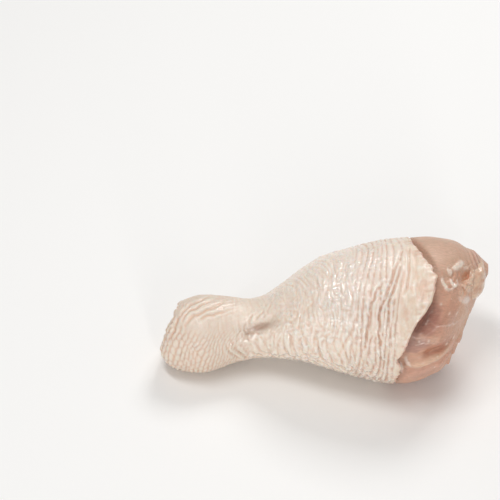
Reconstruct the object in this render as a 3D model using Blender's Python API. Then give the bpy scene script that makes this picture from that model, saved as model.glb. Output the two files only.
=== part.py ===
"""A raw chicken drumstick lying on its side, in metres, +Z up.

The leg lies along X, with the cut hock joint at -X and the fleshy knee end at +X. It rests on z = 0, on small
flats under the belly of the calf and under the hock. Three solids nest in each other with a thin gap between
them: the shin bone, the meat round it, and the skin drawn over the meat as a sleeve.

Angles go round the leg in degrees: 0 is +Y (the back), 90 is up, 180 is -Y (the front) and 270 is down.
"""

import bisect
import math

import bmesh
import bpy
from mathutils import Vector

# Sizes that drive the leg
GAP = 0.0005  # free space between nested solids
SKIN_THICKNESS = 0.0019
SETTLE = 0.0009  # how far the soft leg flattens on the table under its own weight
HOCK_X = -0.046  # where the leg is widest over the hock joint

# The leg's outer form over the skin: x, centre y, centre z, half width, half height
LEG_STATIONS = (
    (-0.0520, 0.0020, 0.0142, 0.0135, 0.0127),
    (-0.0460, 0.0012, 0.0139, 0.0149, 0.0139),
    (-0.0400, 0.0016, 0.0142, 0.0142, 0.0132),
    (-0.0340, 0.0020, 0.0149, 0.0126, 0.0119),
    (-0.0280, 0.0018, 0.0156, 0.0114, 0.0112),
    (-0.0220, 0.0017, 0.0172, 0.0119, 0.0118),
    (-0.0160, 0.0015, 0.0198, 0.0141, 0.0140),
    (-0.0090, 0.0012, 0.0230, 0.0174, 0.0170),
    (-0.0020, 0.0008, 0.0250, 0.0206, 0.0199),
    (0.0060, 0.0005, 0.0254, 0.0234, 0.0222),
    (0.0130, 0.0002, 0.0257, 0.0256, 0.0240),
    (0.0200, 0.0000, 0.0259, 0.0274, 0.0254),
    (0.0260, 0.0000, 0.0260, 0.0282, 0.0260),
    (0.0320, 0.0001, 0.0264, 0.0282, 0.0259),
    (0.0380, 0.0005, 0.0277, 0.0270, 0.0249),
    (0.0430, 0.0011, 0.0286, 0.0252, 0.0231),
    (0.0480, 0.0035, 0.0311, 0.0207, 0.0187),
    (0.0520, 0.0059, 0.0338, 0.0147, 0.0129),
    (0.0550, 0.0077, 0.0358, 0.0106, 0.0091),
    (0.0580, 0.0091, 0.0371, 0.0054, 0.0046),
    (0.0600, 0.0099, 0.0378, 0.0020, 0.0018),
)

# The opening that the butcher's cut leaves at the hock, where the skin turns in round the joint
OPENING_CENTRE = Vector((-0.0565, 0.0054, 0.0161))
OPENING_NORMAL = Vector((-0.91, 0.30, 0.27)).normalized()
OPENING_RADIUS = 0.0078
# The skin's way from that opening to the leg: its pull along the spoke and along x where it starts, and its
# pull along x where it arrives. High up and behind it is drawn straight, low in front it swells into a heel.
CAP_TIGHT_ANGLE = 50
CAP_TIGHT = (0.0020, 0.0040, 0.0080)
CAP_HEEL = (0.0290, -0.0025, 0.0225)

# Round the leg: angle, where the deep folds stop, and where the skin itself stops, both as x
SKIN_EDGE = (
    (25, 0.0262, 0.0284),
    (50, 0.0280, 0.0299),
    (76, 0.0290, 0.0330),
    (98, 0.0280, 0.0374),
    (114, 0.0270, 0.0400),
    (134, 0.0262, 0.0378),
    (150, 0.0256, 0.0320),
    (164, 0.0254, 0.0280),
    (182, 0.0252, 0.0272),
    (200, 0.0244, 0.0262),
    (225, 0.0224, 0.0244),
    (270, 0.0212, 0.0236),
    (320, 0.0230, 0.0254),
    (360, 0.0248, 0.0270),
)
FOLDS = 7
FOLD_PITCH = 0.0027
FOLD_DEPTH = 0.0009
FOLD_MEAN = 0.7  # the height of a fold that leaves the leg's outer form where it is
WRINKLE_DEPTH = 0.00035
SOFT_BUMP = 0.0002  # swells of the smooth skin on the hock and the apron
# The knife's uneven line along the skin's edge: height, waves round the leg, and where they start
EDGE_WAVES = ((0.0005, 7, 0.6), (0.0003, 13, 2.0))
EDGE_ROUND = 0.0006  # how far the rim bulges past the cut
# The apron stands off the meat most of all here, by this height, falling away over this many degrees
FLAP_ANGLE = 140
FLAP_HEIGHT = 0.0009
FLAP_SPREAD = 54

# Rings of the sleeve, zone by zone along its length
COLUMNS = 52
CAP_RINGS = 8
BODY_WRINKLES = 13
RINGS_PER_WRINKLE = 2
RINGS_PER_FOLD = 3
APRON_RINGS = 5
RIM_RINGS = 2
LINING_RINGS = 11
LINING_UNDER_APRON = (0.93, 0.45)
LINING_UNDER_FOLDS = (1.0, 0.8, 0.6, 0.4, 0.2)
LINING_UNDER_CAP = (1.0, 0.66, 0.33, 0.08)

# No wrinkle lifts the leg off the table: relief is nil below the first height and full above the second
CONTACT_HEIGHTS = (0.001, 0.007)

# The dimple where the skin sinks in over the tendon of the shank, from end to end
DIMPLE_ENDS = ((-0.0275, 146), (-0.0195, 131))
DIMPLE_DEPTH = 0.0013
DIMPLE_RADIUS = 0.0026
SHANK_RADIUS = 0.0115

# Meat
MEAT_COLUMNS = 40
MEAT_HOCK_X = -0.0460
MEAT_HOCK_CAP = 0.0055
MEAT_HOCK_LATITUDES = (60, 28)
MEAT_COVERED_END = 0.018
MEAT_COVERED_RINGS = 10
MEAT_BARE_END = 0.050
MEAT_BARE_RINGS = 13
MEAT_NOSE_RINGS = (0.0522, 0.0542, 0.0560, 0.0575, 0.0587, 0.0595)
MEAT_TIP_X = 0.0600
MEAT_EDGE_GAP = 0.0012  # the meat keeps its depth this far past the skin's edge
NOSE_HEIGHTS = (0.001, 0.011)  # over this range of half heights the nose's relief grows from nothing
MEAT_INSET = SKIN_THICKNESS + GAP + 0.0002
# Round the leg: angle, how far the bare meat stays below the leg's outer form, and the length past the skin's
# edge over which it swells out to that
BARE_MEAT = (
    (20, 0.0004, 0.0040),
    (60, 0.0002, 0.0026),
    (95, 0.0004, 0.0034),
    (130, 0.0016, 0.0070),
    (165, 0.0022, 0.0080),
    (195, 0.0012, 0.0060),
    (225, 0.0003, 0.0026),
    (290, 0.0004, 0.0036),
)
# Lobes and hollows of the bare end: x, angle, half length, half width round the leg, height
MEAT_FEATURES = (
    (0.0415, 75, 0.0100, 0.0150, 0.0006),
    (0.0522, 127, 0.0024, 0.0034, -0.0030),
    (0.0480, 112, 0.0040, 0.0018, -0.0012),
    (0.0550, 182, 0.0016, 0.0036, -0.0018),
    (0.0500, 149, 0.0030, 0.0022, 0.0014),
    (0.0440, 152, 0.0050, 0.0060, 0.0009),
    (0.0460, 174, 0.0070, 0.0014, -0.0012),
    (0.0395, 172, 0.0060, 0.0060, 0.0008),
    (0.0410, 193, 0.0065, 0.0018, -0.0022),
    (0.0390, 204, 0.0070, 0.0034, 0.0014),
    (0.0365, 217, 0.0080, 0.0014, -0.0014),
    (0.0430, 335, 0.0090, 0.0020, -0.0018),
    (0.0430, 288, 0.0090, 0.0018, -0.0014),
    (0.0500, 20, 0.0040, 0.0030, -0.0012),
)

# Shin bone: x, centre y, centre z, half width, half height
BONE_STATIONS = (
    (-0.0566, 0.0053, 0.0158, 0.0000, 0.0000),
    (-0.0560, 0.0052, 0.0157, 0.0038, 0.0033),
    (-0.0546, 0.0048, 0.0154, 0.0058, 0.0052),
    (-0.0520, 0.0041, 0.0148, 0.0064, 0.0058),
    (-0.0484, 0.0030, 0.0142, 0.0059, 0.0052),
    (-0.0430, 0.0022, 0.0142, 0.0041, 0.0038),
    (-0.0280, 0.0022, 0.0165, 0.0033, 0.0031),
    (0.0000, 0.0026, 0.0232, 0.0034, 0.0033),
    (0.0250, 0.0038, 0.0294, 0.0040, 0.0042),
    (0.0400, 0.0049, 0.0330, 0.0058, 0.0056),
    (0.0480, 0.0056, 0.0350, 0.0080, 0.0068),
    (0.0530, 0.0060, 0.0362, 0.0086, 0.0070),
    (0.0565, 0.0063, 0.0371, 0.0072, 0.0058),
    (0.0583, 0.0065, 0.0376, 0.0042, 0.0034),
    (0.0590, 0.0066, 0.0378, 0.0000, 0.0000),
)
BONE_COLUMNS = 20
BONE_RINGS = 26
BONE_END_CROWDING = 0.8  # how much closer the bone's rings stand at its ends, from 0 to 1
BONE_CLEARANCE = 0.0004
# Each joint end is pinched into two rollers: how far, and over which distances from the middle of the leg
CONDYLE_PINCH = 0.16
CONDYLE_REACH = (0.046, 0.054)

# Colours, roughness
SKIN_COLOUR = (0.745, 0.630, 0.530)
MEAT_COLOUR = (0.560, 0.290, 0.215)
BONE_COLOUR = (0.780, 0.715, 0.640)


def clear_scene():
    """Removes whatever the file opened with."""
    for obj in list(bpy.data.objects):
        bpy.data.objects.remove(obj)


def smoothstep(value):
    """0 below 0, 1 above 1, and an even S between."""
    t = max(0.0, min(1.0, value))
    return t * t * (3 - 2 * t)


def rise(value, start, end):
    """0 up to the start, 1 from the end on, and an even S between."""
    return smoothstep((value - start) / (end - start))


def blend(a, b, share):
    """The value that share of the way from a to b."""
    return a + (b - a) * share


def curve_row(rows, key):
    """The row at a key, without the key, read from a smooth curve through the given rows."""
    last = len(rows) - 1
    i = max(1, min(last, bisect.bisect_right([row[0] for row in rows], key)))
    before, start, end, after = rows[max(i - 2, 0)], rows[i - 1], rows[i], rows[min(i + 1, last)]
    span = end[0] - start[0]
    t = (key - start[0]) / span
    found = []
    for k in range(1, len(start)):
        leaving = (end[k] - before[k]) / (end[0] - before[0]) * span
        arriving = (after[k] - start[k]) / (after[0] - start[0]) * span
        found.append(
            (2 * t**3 - 3 * t**2 + 1) * start[k]
            + (t**3 - 2 * t**2 + t) * leaving
            + (3 * t**2 - 2 * t**3) * end[k]
            + (t**3 - t**2) * arriving
        )
    return found


def round_row(rows, angle):
    """curve_row for rows keyed by an angle that comes round again after 360 degrees."""
    turn = [(row[0] + lap, *row[1:]) for lap in (-360, 0, 360) for row in rows]
    return curve_row(turn, angle % 360)


def leg_point(x, angle, lift=0.0):
    """The point at an angle of the leg's section at x, lift above the outer form."""
    y, z, half_width, half_height = curve_row(LEG_STATIONS, x)
    a = math.radians(angle)
    return Vector((x, y + (half_width + lift) * math.cos(a), z + (half_height + lift) * math.sin(a)))


def ridge(phase):
    """A rounded ridge between sharp valleys, 0 at whole phases and 1 half way."""
    return abs(math.sin(math.pi * phase))


def arc_between(angle, other, radius):
    """The way round the leg between two angles, in metres."""
    turn = (angle - other + 180) % 360 - 180
    return math.radians(turn) * radius


def dimple(x, angle):
    """How far the dimple on the shank sinks the skin at a point."""
    (x0, a0), (x1, a1) = DIMPLE_ENDS
    share = max(0.0, min(1.0, (x - x0) / (x1 - x0)))
    across = arc_between(angle, blend(a0, a1, share), SHANK_RADIUS)
    along = x - blend(x0, x1, share)
    return DIMPLE_DEPTH * math.exp(-(across**2 + along**2) / DIMPLE_RADIUS**2)


def contact_fade(point):
    """0 where the skin lies on the table, 1 well above it, so that no wrinkle lifts the leg off its flats."""
    return rise(point.z, *CONTACT_HEIGHTS)


def settled(point):
    """The point after the leg has sunk a little and flattened on the table."""
    return Vector((point.x, point.y, max(0.0, point.z - SETTLE)))


def opening_point(angle):
    """The point at an angle of the opening that the cut leaves at the hock."""
    a = math.radians(angle)
    spoke = Vector((0.0, math.cos(a), math.sin(a)))
    spoke -= OPENING_NORMAL * spoke.dot(OPENING_NORMAL)
    return OPENING_CENTRE + spoke.normalized() * OPENING_RADIUS, spoke.normalized()


def cap_point(share, angle, lift=0.0):
    """The skin over the hock, from the opening at share 0 to the widest section at share 1."""
    start, spoke = opening_point(angle)
    end = leg_point(HOCK_X, angle)
    low = (1 - math.cos(math.radians(angle - CAP_TIGHT_ANGLE))) / 2
    along_spoke, along_x, arriving_x = (blend(*pull, low) for pull in zip(CAP_TIGHT, CAP_HEEL))
    leaving = spoke * along_spoke + Vector((along_x, 0.0, 0.0))
    arriving = Vector((arriving_x, 0.0, 0.0))
    t = share
    point = (
        start * (2 * t**3 - 3 * t**2 + 1)
        + leaving * (t**3 - 2 * t**2 + t)
        + end * (3 * t**2 - 2 * t**3)
        + arriving * (t**3 - t**2)
    )
    centre = Vector((point.x, *curve_row(LEG_STATIONS, max(point.x, LEG_STATIONS[0][0]))[:2]))
    outward = (point - centre).normalized()
    outward = (outward + OPENING_NORMAL * (1 - t)).normalized()
    return point + outward * lift


def sleeve_plan():
    """The rings of the sleeve in order, each as (surface, zone, share of the zone, wrinkle phase)."""
    plan = [("outer", "cap", i / CAP_RINGS, 0.0) for i in range(CAP_RINGS)]
    body = BODY_WRINKLES * RINGS_PER_WRINKLE
    plan += [("outer", "body", i / body, i / RINGS_PER_WRINKLE) for i in range(body)]
    folds = FOLDS * RINGS_PER_FOLD
    plan += [("outer", "folds", i / folds, i / RINGS_PER_FOLD) for i in range(folds)]
    plan += [("outer", "apron", i / APRON_RINGS, 0.0) for i in range(APRON_RINGS)]
    plan += [("rim", "apron", 1.0, i / (RIM_RINGS - 1)) for i in range(RIM_RINGS)]
    plan += [("inner", "apron", share, 0.0) for share in LINING_UNDER_APRON]
    plan += [("inner", "folds", share, 0.0) for share in LINING_UNDER_FOLDS]
    plan += [("inner", "body", 1 - i / LINING_RINGS, 0.0) for i in range(LINING_RINGS)]
    plan += [("inner", "cap", share, 0.0) for share in LINING_UNDER_CAP]
    return plan


def zone_x(zone, share, angle):
    """Where a ring of the body, the folds or the apron crosses an angle."""
    fold_end, edge = round_row(SKIN_EDGE, angle)
    fold_start = fold_end - FOLDS * FOLD_PITCH
    if zone == "body":
        return blend(HOCK_X, fold_start, share)
    if zone == "folds":
        return blend(fold_start, fold_end, share)
    return blend(fold_end, edge, share)


def edge_ripple(angle):
    """The uneven line that the knife left along the skin's edge."""
    a = math.radians(angle)
    return sum(height * math.sin(waves * a + start) for height, waves, start in EDGE_WAVES)


def relief(zone, share, phase, angle):
    """Height of the skin's wrinkles and folds on a ring at an angle: deeper low down, and a little uneven."""
    a = math.radians(angle)
    if zone == "cap":
        return SOFT_BUMP * math.cos(6 * a + 9 * share) * math.sin(math.pi * share)
    if zone == "apron":
        return SOFT_BUMP * math.sin(5 * a + 5 * share)
    if zone == "body":
        low = 0.55 - 0.45 * math.sin(a + 0.3)
        uneven = 0.75 + 0.25 * math.sin(5 * a + 2.4 * phase)
        return WRINKLE_DEPTH * (2 * ridge(phase) - 1) * low * uneven * rise(share, 0.1, 0.35)
    low = 0.8 - 0.2 * math.sin(a + 0.1)
    uneven = 0.8 + 0.2 * math.sin(3 * a + 1.9 * math.floor(phase))
    growing = blend(0.45, 1.0, rise(share, 0.0, 0.6))
    return FOLD_DEPTH * (ridge(phase) - FOLD_MEAN) * low * uneven * growing


def flap_lift(zone, share, angle):
    """How far the loose apron stands off the meat at the front, most of all at its edge."""
    if zone != "apron":
        return 0.0
    off = arc_between(angle, FLAP_ANGLE, 1.0) / math.radians(FLAP_SPREAD)
    return FLAP_HEIGHT * math.exp(-(off**2)) * share


def sleeve_point(ring, angle):
    """The point of a ring of the sleeve at an angle."""
    surface, zone, share, phase = ring
    depth = {"outer": 0.0, "rim": SKIN_THICKNESS * (0.3 + 0.4 * phase), "inner": SKIN_THICKNESS}[surface]
    if zone == "cap":
        lift = relief(zone, share, phase, angle) if surface == "outer" else 0.0
        return settled(cap_point(share, angle, lift - depth))
    x = zone_x(zone, share, angle)
    if surface == "rim":
        x += edge_ripple(angle) + EDGE_ROUND
    elif zone == "apron":
        x += edge_ripple(angle) * share
    smooth = leg_point(x, angle)
    lift = flap_lift(zone, share, angle) * contact_fade(smooth) - depth
    if surface == "outer":
        lift += relief(zone, share, phase, angle) * contact_fade(smooth)
        lift -= dimple(x, angle)
    return settled(leg_point(x, angle, lift))


def meat_rings():
    """The meat's rings from the hock to the knee end, each as (x, share of the full section)."""
    rings = []
    for degrees in MEAT_HOCK_LATITUDES:
        b = math.radians(degrees)
        rings.append((MEAT_HOCK_X - MEAT_HOCK_CAP * math.sin(b), math.cos(b)))
    for start, end, steps in (
        (MEAT_HOCK_X, MEAT_COVERED_END, MEAT_COVERED_RINGS),
        (MEAT_COVERED_END, MEAT_BARE_END, MEAT_BARE_RINGS),
    ):
        rings += [(blend(start, end, i / steps), 1.0) for i in range(steps)]
    rings += [(x, 1.0) for x in (MEAT_BARE_END, *MEAT_NOSE_RINGS)]
    return rings


def meat_lift(x, angle, radius):
    """How far the meat lies off the leg's outer form: sunk under the skin, swelling out past its edge."""
    _, edge = round_row(SKIN_EDGE, angle)
    bare, swell_run = round_row(BARE_MEAT, angle)
    start = edge + MEAT_EDGE_GAP
    lift = -blend(MEAT_INSET, bare, rise(x, start, start + swell_run))
    if x > start:
        for at, turn, length, width, height in MEAT_FEATURES:
            off = ((x - at) / length) ** 2 + (arc_between(angle, turn, radius) / width) ** 2
            lift += height * math.exp(-off)
    return lift


def meat_point(x, share, angle):
    """The point of the meat's surface at an angle of its ring at x."""
    y, z, half_width, half_height = curve_row(LEG_STATIONS, max(x, LEG_STATIONS[0][0]))
    lift = meat_lift(x, angle, (half_width + half_height) / 2) * rise(half_height, *NOSE_HEIGHTS)
    a = math.radians(angle)
    wide = (half_width + lift) * share
    high = (half_height + lift) * share
    return settled(Vector((x, y + wide * math.cos(a), z + high * math.sin(a))))


def bone_point(x, angle, clearance=0.0):
    """The point of the shin bone's surface at an angle, grown by a clearance."""
    y, z, half_width, half_height = curve_row(BONE_STATIONS, x)
    a = math.radians(angle)
    pinch = 1 + CONDYLE_PINCH * rise(abs(x), *CONDYLE_REACH) * (abs(math.cos(a)) - 0.6)
    wide = half_width * pinch + clearance
    high = half_height * pinch + clearance
    return settled(Vector((x, y + wide * math.cos(a), z + high * math.sin(a))))


def material(name, colour, roughness, subsurface):
    """A wet, slightly translucent finish."""
    made = bpy.data.materials.new(name)
    made.use_nodes = True
    shader = made.node_tree.nodes["Principled BSDF"]
    shader.inputs["Base Color"].default_value = (*colour, 1.0)
    shader.inputs["Roughness"].default_value = roughness
    shader.inputs["Metallic"].default_value = 0.0
    shader.inputs["Subsurface Weight"].default_value = subsurface
    return made


def add_object(name, mesh_data, collection, finish=None):
    """Links a finished mesh as a named object, shaded smooth where it is round."""
    mesh = bpy.data.meshes.new(name)
    mesh_data.to_mesh(mesh)
    mesh_data.free()
    mesh.shade_smooth()
    mesh.set_sharp_from_angle(angle=math.radians(50))
    if finish:
        mesh.materials.append(finish)
    obj = bpy.data.objects.new(name, mesh)
    collection.objects.link(obj)
    return obj


def face_outward(made):
    """Turns every face of a closed mesh to the outside."""
    bmesh.ops.recalc_face_normals(made, faces=made.faces)
    if made.calc_volume(signed=True) < 0:
        bmesh.ops.reverse_faces(made, faces=made.faces)


def sphere_of_rings(columns, ring_points, poles):
    """A UV sphere whose parallels are drawn out to the rings of points, and its poles to the two ends."""
    rings = len(ring_points)
    made = bmesh.new()
    bmesh.ops.create_uvsphere(made, u_segments=columns, v_segments=rings + 1, radius=1.0)
    for vert in made.verts:
        latitude = math.degrees(math.asin(max(-1.0, min(1.0, vert.co.z))))
        step = round((latitude + 90) / 180 * (rings + 1))
        if step in (0, rings + 1):
            vert.co = poles[0] if step == 0 else poles[1]
            continue
        column = round(math.degrees(math.atan2(vert.co.y, vert.co.x)) % 360 / 360 * columns) % columns
        vert.co = ring_points[step - 1][column]
    face_outward(made)
    return made


def column_angles(columns):
    """The angles of evenly spaced columns round the leg."""
    return [360 * c / columns for c in range(columns)]


def build_skin(collection):
    """The skin: a torus drawn out into a sleeve that is open at the hock and at the knee end."""
    plan = sleeve_plan()
    made = bmesh.new()
    bpy.ops.mesh.primitive_torus_add(
        major_segments=COLUMNS, minor_segments=len(plan), major_radius=1.0, minor_radius=0.25
    )
    ring_torus = bpy.context.object
    made.from_mesh(ring_torus.data)
    bpy.data.objects.remove(ring_torus)
    for vert in made.verts:
        across = math.hypot(vert.co.x, vert.co.y) - 1.0
        minor = math.degrees(math.atan2(vert.co.z, across)) % 360
        major = math.degrees(math.atan2(vert.co.y, vert.co.x)) % 360
        ring = plan[round(minor / 360 * len(plan)) % len(plan)]
        vert.co = sleeve_point(ring, round(major / 360 * COLUMNS) * 360 / COLUMNS)
    face_outward(made)
    return add_object("skin", made, collection, material("skin", SKIN_COLOUR, 0.42, 0.15))


def bone_mesh(clearance):
    """The shin bone's closed mesh, grown by a clearance."""
    first, last = BONE_STATIONS[0], BONE_STATIONS[-1]
    rings = []
    for i in range(1, BONE_RINGS):
        even = i / BONE_RINGS
        rings.append(blend(first[0], last[0], blend(even, smoothstep(even), BONE_END_CROWDING)))
    points = [[bone_point(x, angle, clearance) for angle in column_angles(BONE_COLUMNS)] for x in rings]
    reach = Vector((clearance, 0.0, 0.0))
    poles = [settled(Vector(first[:3]) - reach), settled(Vector(last[:3]) + reach)]
    return sphere_of_rings(BONE_COLUMNS, points, poles)


def build_meat(collection, cutters):
    """The meat: one closed form with a tunnel for the bone, which shows at both of its ends."""
    rings = meat_rings()
    points = [[meat_point(x, share, angle) for angle in column_angles(MEAT_COLUMNS)] for x, share in rings]
    hock_end = Vector((MEAT_HOCK_X - MEAT_HOCK_CAP, *LEG_STATIONS[0][1:3]))
    knee_end = Vector((MEAT_TIP_X, *LEG_STATIONS[-1][1:3]))
    made = sphere_of_rings(MEAT_COLUMNS, points, [settled(hock_end), settled(knee_end)])
    meat = add_object("meat", made, collection, material("meat", MEAT_COLOUR, 0.3, 0.2))
    tunnel = add_object("bone_tunnel", bone_mesh(BONE_CLEARANCE), cutters)
    tunnel.hide_render = True
    tunnel.display_type = "WIRE"
    cut = meat.modifiers.new("bone_tunnel", "BOOLEAN")
    cut.operation = "DIFFERENCE"
    cut.solver = "EXACT"
    cut.object = tunnel
    return meat


def build_bone(collection):
    """The shin bone, with pale cartilage rollers at the hock and at the knee."""
    return add_object("shin_bone", bone_mesh(0.0), collection, material("bone", BONE_COLOUR, 0.25, 0.1))


def centre_on_origin(objects):
    """Moves the meshes together so that the middle of their box stands over the origin."""
    corners = [vert.co for obj in objects for vert in obj.data.vertices]
    for axis in (0, 1):
        middle = (min(c[axis] for c in corners) + max(c[axis] for c in corners)) / 2
        for corner in corners:
            corner[axis] -= middle


def main():
    """Builds the drumstick."""
    clear_scene()
    parts = bpy.data.collections.new("drumstick")
    cutters = bpy.data.collections.new("cutters")
    for collection in (parts, cutters):
        bpy.context.scene.collection.children.link(collection)
    build_skin(parts)
    build_meat(parts, cutters)
    build_bone(parts)
    centre_on_origin([*parts.objects, *cutters.objects])


main()
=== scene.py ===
"""A raw chicken drumstick on a pale floor, dressed for its portrait.

Lengths are in metres and +Z is up. The leg lies along X, the cut hock at -X and the fleshy knee end at +X.
Turns are degrees round the leg: 0 is +Y (the back), 90 is up, 180 is -Y (the front) and 270 is down.
"""

import logging
import math
from collections.abc import Iterable
from dataclasses import dataclass
from enum import Enum
from itertools import product

import bpy
import numpy as np
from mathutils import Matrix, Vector


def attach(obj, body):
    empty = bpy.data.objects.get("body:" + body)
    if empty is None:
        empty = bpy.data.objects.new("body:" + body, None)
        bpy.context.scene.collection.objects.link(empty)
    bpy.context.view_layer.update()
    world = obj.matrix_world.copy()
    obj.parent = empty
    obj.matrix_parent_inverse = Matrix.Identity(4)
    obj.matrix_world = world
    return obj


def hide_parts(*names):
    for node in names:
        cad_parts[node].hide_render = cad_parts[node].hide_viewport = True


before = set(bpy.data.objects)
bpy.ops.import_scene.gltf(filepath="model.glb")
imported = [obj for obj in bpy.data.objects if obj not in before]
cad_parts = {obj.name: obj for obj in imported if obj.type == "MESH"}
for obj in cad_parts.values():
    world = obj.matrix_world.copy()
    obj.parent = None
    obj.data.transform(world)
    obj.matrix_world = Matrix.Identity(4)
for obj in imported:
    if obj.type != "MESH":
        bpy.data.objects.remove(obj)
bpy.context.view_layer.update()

LOG = logging.getLogger("drumstick")
BODY = "root"

Array = np.ndarray
Amount = np.ndarray | float
Pair = tuple[float, float]
Triple = tuple[float, float, float]
Colour = Triple
Rows = tuple[tuple[float, ...], ...]
ALONG = np.array((1.0, 0.0, 0.0))
NOISE_GAIN = 1.7


class Slot(Enum):
    """The record's material slots."""

    SKIN = "skin"
    MEAT = "meat"
    BONE = "bone"


def srgb(red: float, green: float, blue: float) -> Colour:
    """A colour given as it looks on a screen, 0 to 255, as linear light."""
    shares = (value / 255 for value in (red, green, blue))
    return tuple(s / 12.92 if s <= 0.04045 else ((s + 0.055) / 1.055) ** 2.4 for s in shares)


def unit(value: Amount) -> Array:
    """The value kept between 0 and 1."""
    return np.clip(value, 0.0, 1.0)


def rise(value: Amount, start: Amount, end: Amount) -> Array:
    """0 up to the start, 1 from the end on, and the S curve 3t^2 - 2t^3 between."""
    t = unit((value - start) / (end - start))
    return t * t * (3 - 2 * t)


def band(value: Array, first: float, full: float, ebb: float, last: float) -> Array:
    """0 below first, 1 from full to ebb, 0 again above last."""
    return rise(value, first, full) * (1 - rise(value, ebb, last))


def blend(a: Amount, b: Amount, share: Amount) -> Array:
    """The value that share of the way from a to b."""
    return a + (b - a) * share


def ridges(count: Array) -> Array:
    """Rounded ridges from 0 to 1 with sharp valleys between, one for each whole count: |sin|."""
    return np.abs(np.sin(np.pi * count))


def direction(vectors: Array) -> Array:
    """The vectors, each with length 1."""
    return vectors / np.linalg.norm(vectors, axis=-1, keepdims=True)


def turns(count: int) -> Array:
    """That many turns, spaced evenly round the leg, as one ring."""
    return np.arange(count)[None, :] * 360 / count


def turn_between(turn: Array, other: Amount) -> Array:
    """The way round from one turn to another, -180 to 180 degrees."""
    return (turn - other + 180) % 360 - 180


def round_points(x: Array, turn: Array, wide: Amount, high: Amount, y: Amount = 0, z: Amount = 0) -> Array:
    """Points at turns of upright ellipses across the leg, with their middles at x, y, z and two halves."""
    a = np.radians(turn)
    return np.stack(np.broadcast_arrays(x, y + wide * np.cos(a), z + high * np.sin(a)), axis=-1)


def hermite(start: Array, leaving: Array, end: Array, arriving: Array, t: Array) -> Array:
    """The cubic from start to end, for t from 0 to 1, with the slopes that it leaves and arrives with."""
    return (
        (2 * t**3 - 3 * t**2 + 1) * start
        + (t**3 - 2 * t**2 + t) * leaving
        + (3 * t**2 - 2 * t**3) * end
        + (t**3 - t**2) * arriving
    )


def curve_rows(rows: Rows, keys: Array) -> Array:
    """Reads a smooth curve through rows of (key, values...) at an array of keys.

    Between two rows it is the Hermite cubic whose slope at each row is that of the line through the two rows
    beside it.

    Args:
        rows: The rows, with rising keys.
        keys: Where to read the curve.

    Returns:
        The values, in a last axis that has no key.
    """
    table = np.array(rows, dtype=float)
    last = len(table) - 1
    i = np.clip(np.searchsorted(table[:, 0], keys, side="right"), 1, last)
    before, start, end, after = (table[np.clip(i + step, 0, last)] for step in (-2, -1, 0, 1))
    span = (end - start)[..., :1]
    t = (np.asarray(keys)[..., None] - start[..., :1]) / span
    leaving = (end - before) / (end - before)[..., :1] * span
    arriving = (after - start) / (after - start)[..., :1] * span
    return hermite(start, leaving, end, arriving, t)[..., 1:]


def round_rows(rows: Rows, turn: Array) -> Array:
    """curve_rows for rows keyed by a turn that comes round again after 360 degrees."""
    laps = tuple((row[0] + lap, *row[1:]) for lap in (-360, 0, 360) for row in rows)
    return curve_rows(laps, turn % 360)


def layered(ground: Colour, shape: tuple[int, ...], layers: Iterable[tuple[Array, Colour]]) -> Array:
    """Lays screen colours over a ground one by one, each as strongly as its share, 0 to 1, says."""
    colour = np.array(srgb(*ground)) + np.zeros((*shape, 3))
    for share, other in layers:
        colour = blend(colour, np.array(srgb(*other)), unit(share)[..., None])
    return colour


class Noise:
    """Smooth random hills in space, the same at every run."""

    def __init__(self, seed: int) -> None:
        """Draws the order of the lattice's corners and the slope at each."""
        draw = np.random.default_rng(seed)
        self.order = draw.permutation(256)
        self.slopes = direction(draw.normal(size=(256, 3)))

    def at(self, points: Array) -> Array:
        """Gradient noise, about -1 to 1.

        Each corner of the unit cube round a point gives its slope's dot product with the way to the point, and
        the corners are blended across the cube by 6t^5 - 15t^4 + 10t^3.

        Args:
            points: The points, x, y and z in the last axis.

        Returns:
            One value for each point.
        """
        base = np.floor(points).astype(int)
        away = points - base
        ease = away**3 * (away * (away * 6 - 15) + 10)
        total = np.zeros(points.shape[:-1])
        for corner in product((0, 1), repeat=3):
            x, y, z = np.moveaxis((base + corner) & 255, -1, 0)
            mixed = self.order[(self.order[(self.order[x] + y) & 255] + z) & 255]
            share = np.prod(np.where(corner, ease, 1 - ease), axis=-1)
            total += share * np.sum(self.slopes[mixed] * (away - corner), axis=-1)
        return total * NOISE_GAIN


@dataclass(frozen=True)
class Spots:
    """Places on the leg: the way along it, the turn round it, and its mean radius there."""

    along: Array
    turn: Array
    radius: Array

    def moved(self, along: Amount, round_it: Amount) -> "Spots":
        """The same spots, shifted by lengths along the leg and round it."""
        return Spots(self.along + along, self.turn + np.degrees(round_it / self.radius), self.radius)

    def round_from(self, turn: float) -> Array:
        """How far round the leg each spot lies from a turn, as a length."""
        return np.radians(turn_between(self.turn, turn)) * self.radius

    def blob(self, along: float, turn: float, half_length: float, half_width: float) -> Array:
        """A soft hill, exp(-d^2), where d counts half lengths along the leg and half widths round it."""
        across = self.round_from(turn) / half_width
        return np.exp(-(((self.along - along) / half_length) ** 2) - across**2)

    def hills(self, seed: int, pitch: float, run: float | None = None) -> Array:
        """Random hills, about -1 to 1: pitch long along the leg and run, or else as long, round it."""
        across = self.radius / (run or pitch)
        return Noise(seed).at(round_points(self.along / pitch, self.turn, across, across))

    def wrinkles(self, seed: int, pitch: float, run: float | None = None, mean: float = 0.3) -> Array:
        """The hills without their sign, less a mean: rounded ridges with sharp valleys between."""
        return np.abs(self.hills(seed, pitch, run)) - mean


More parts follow.
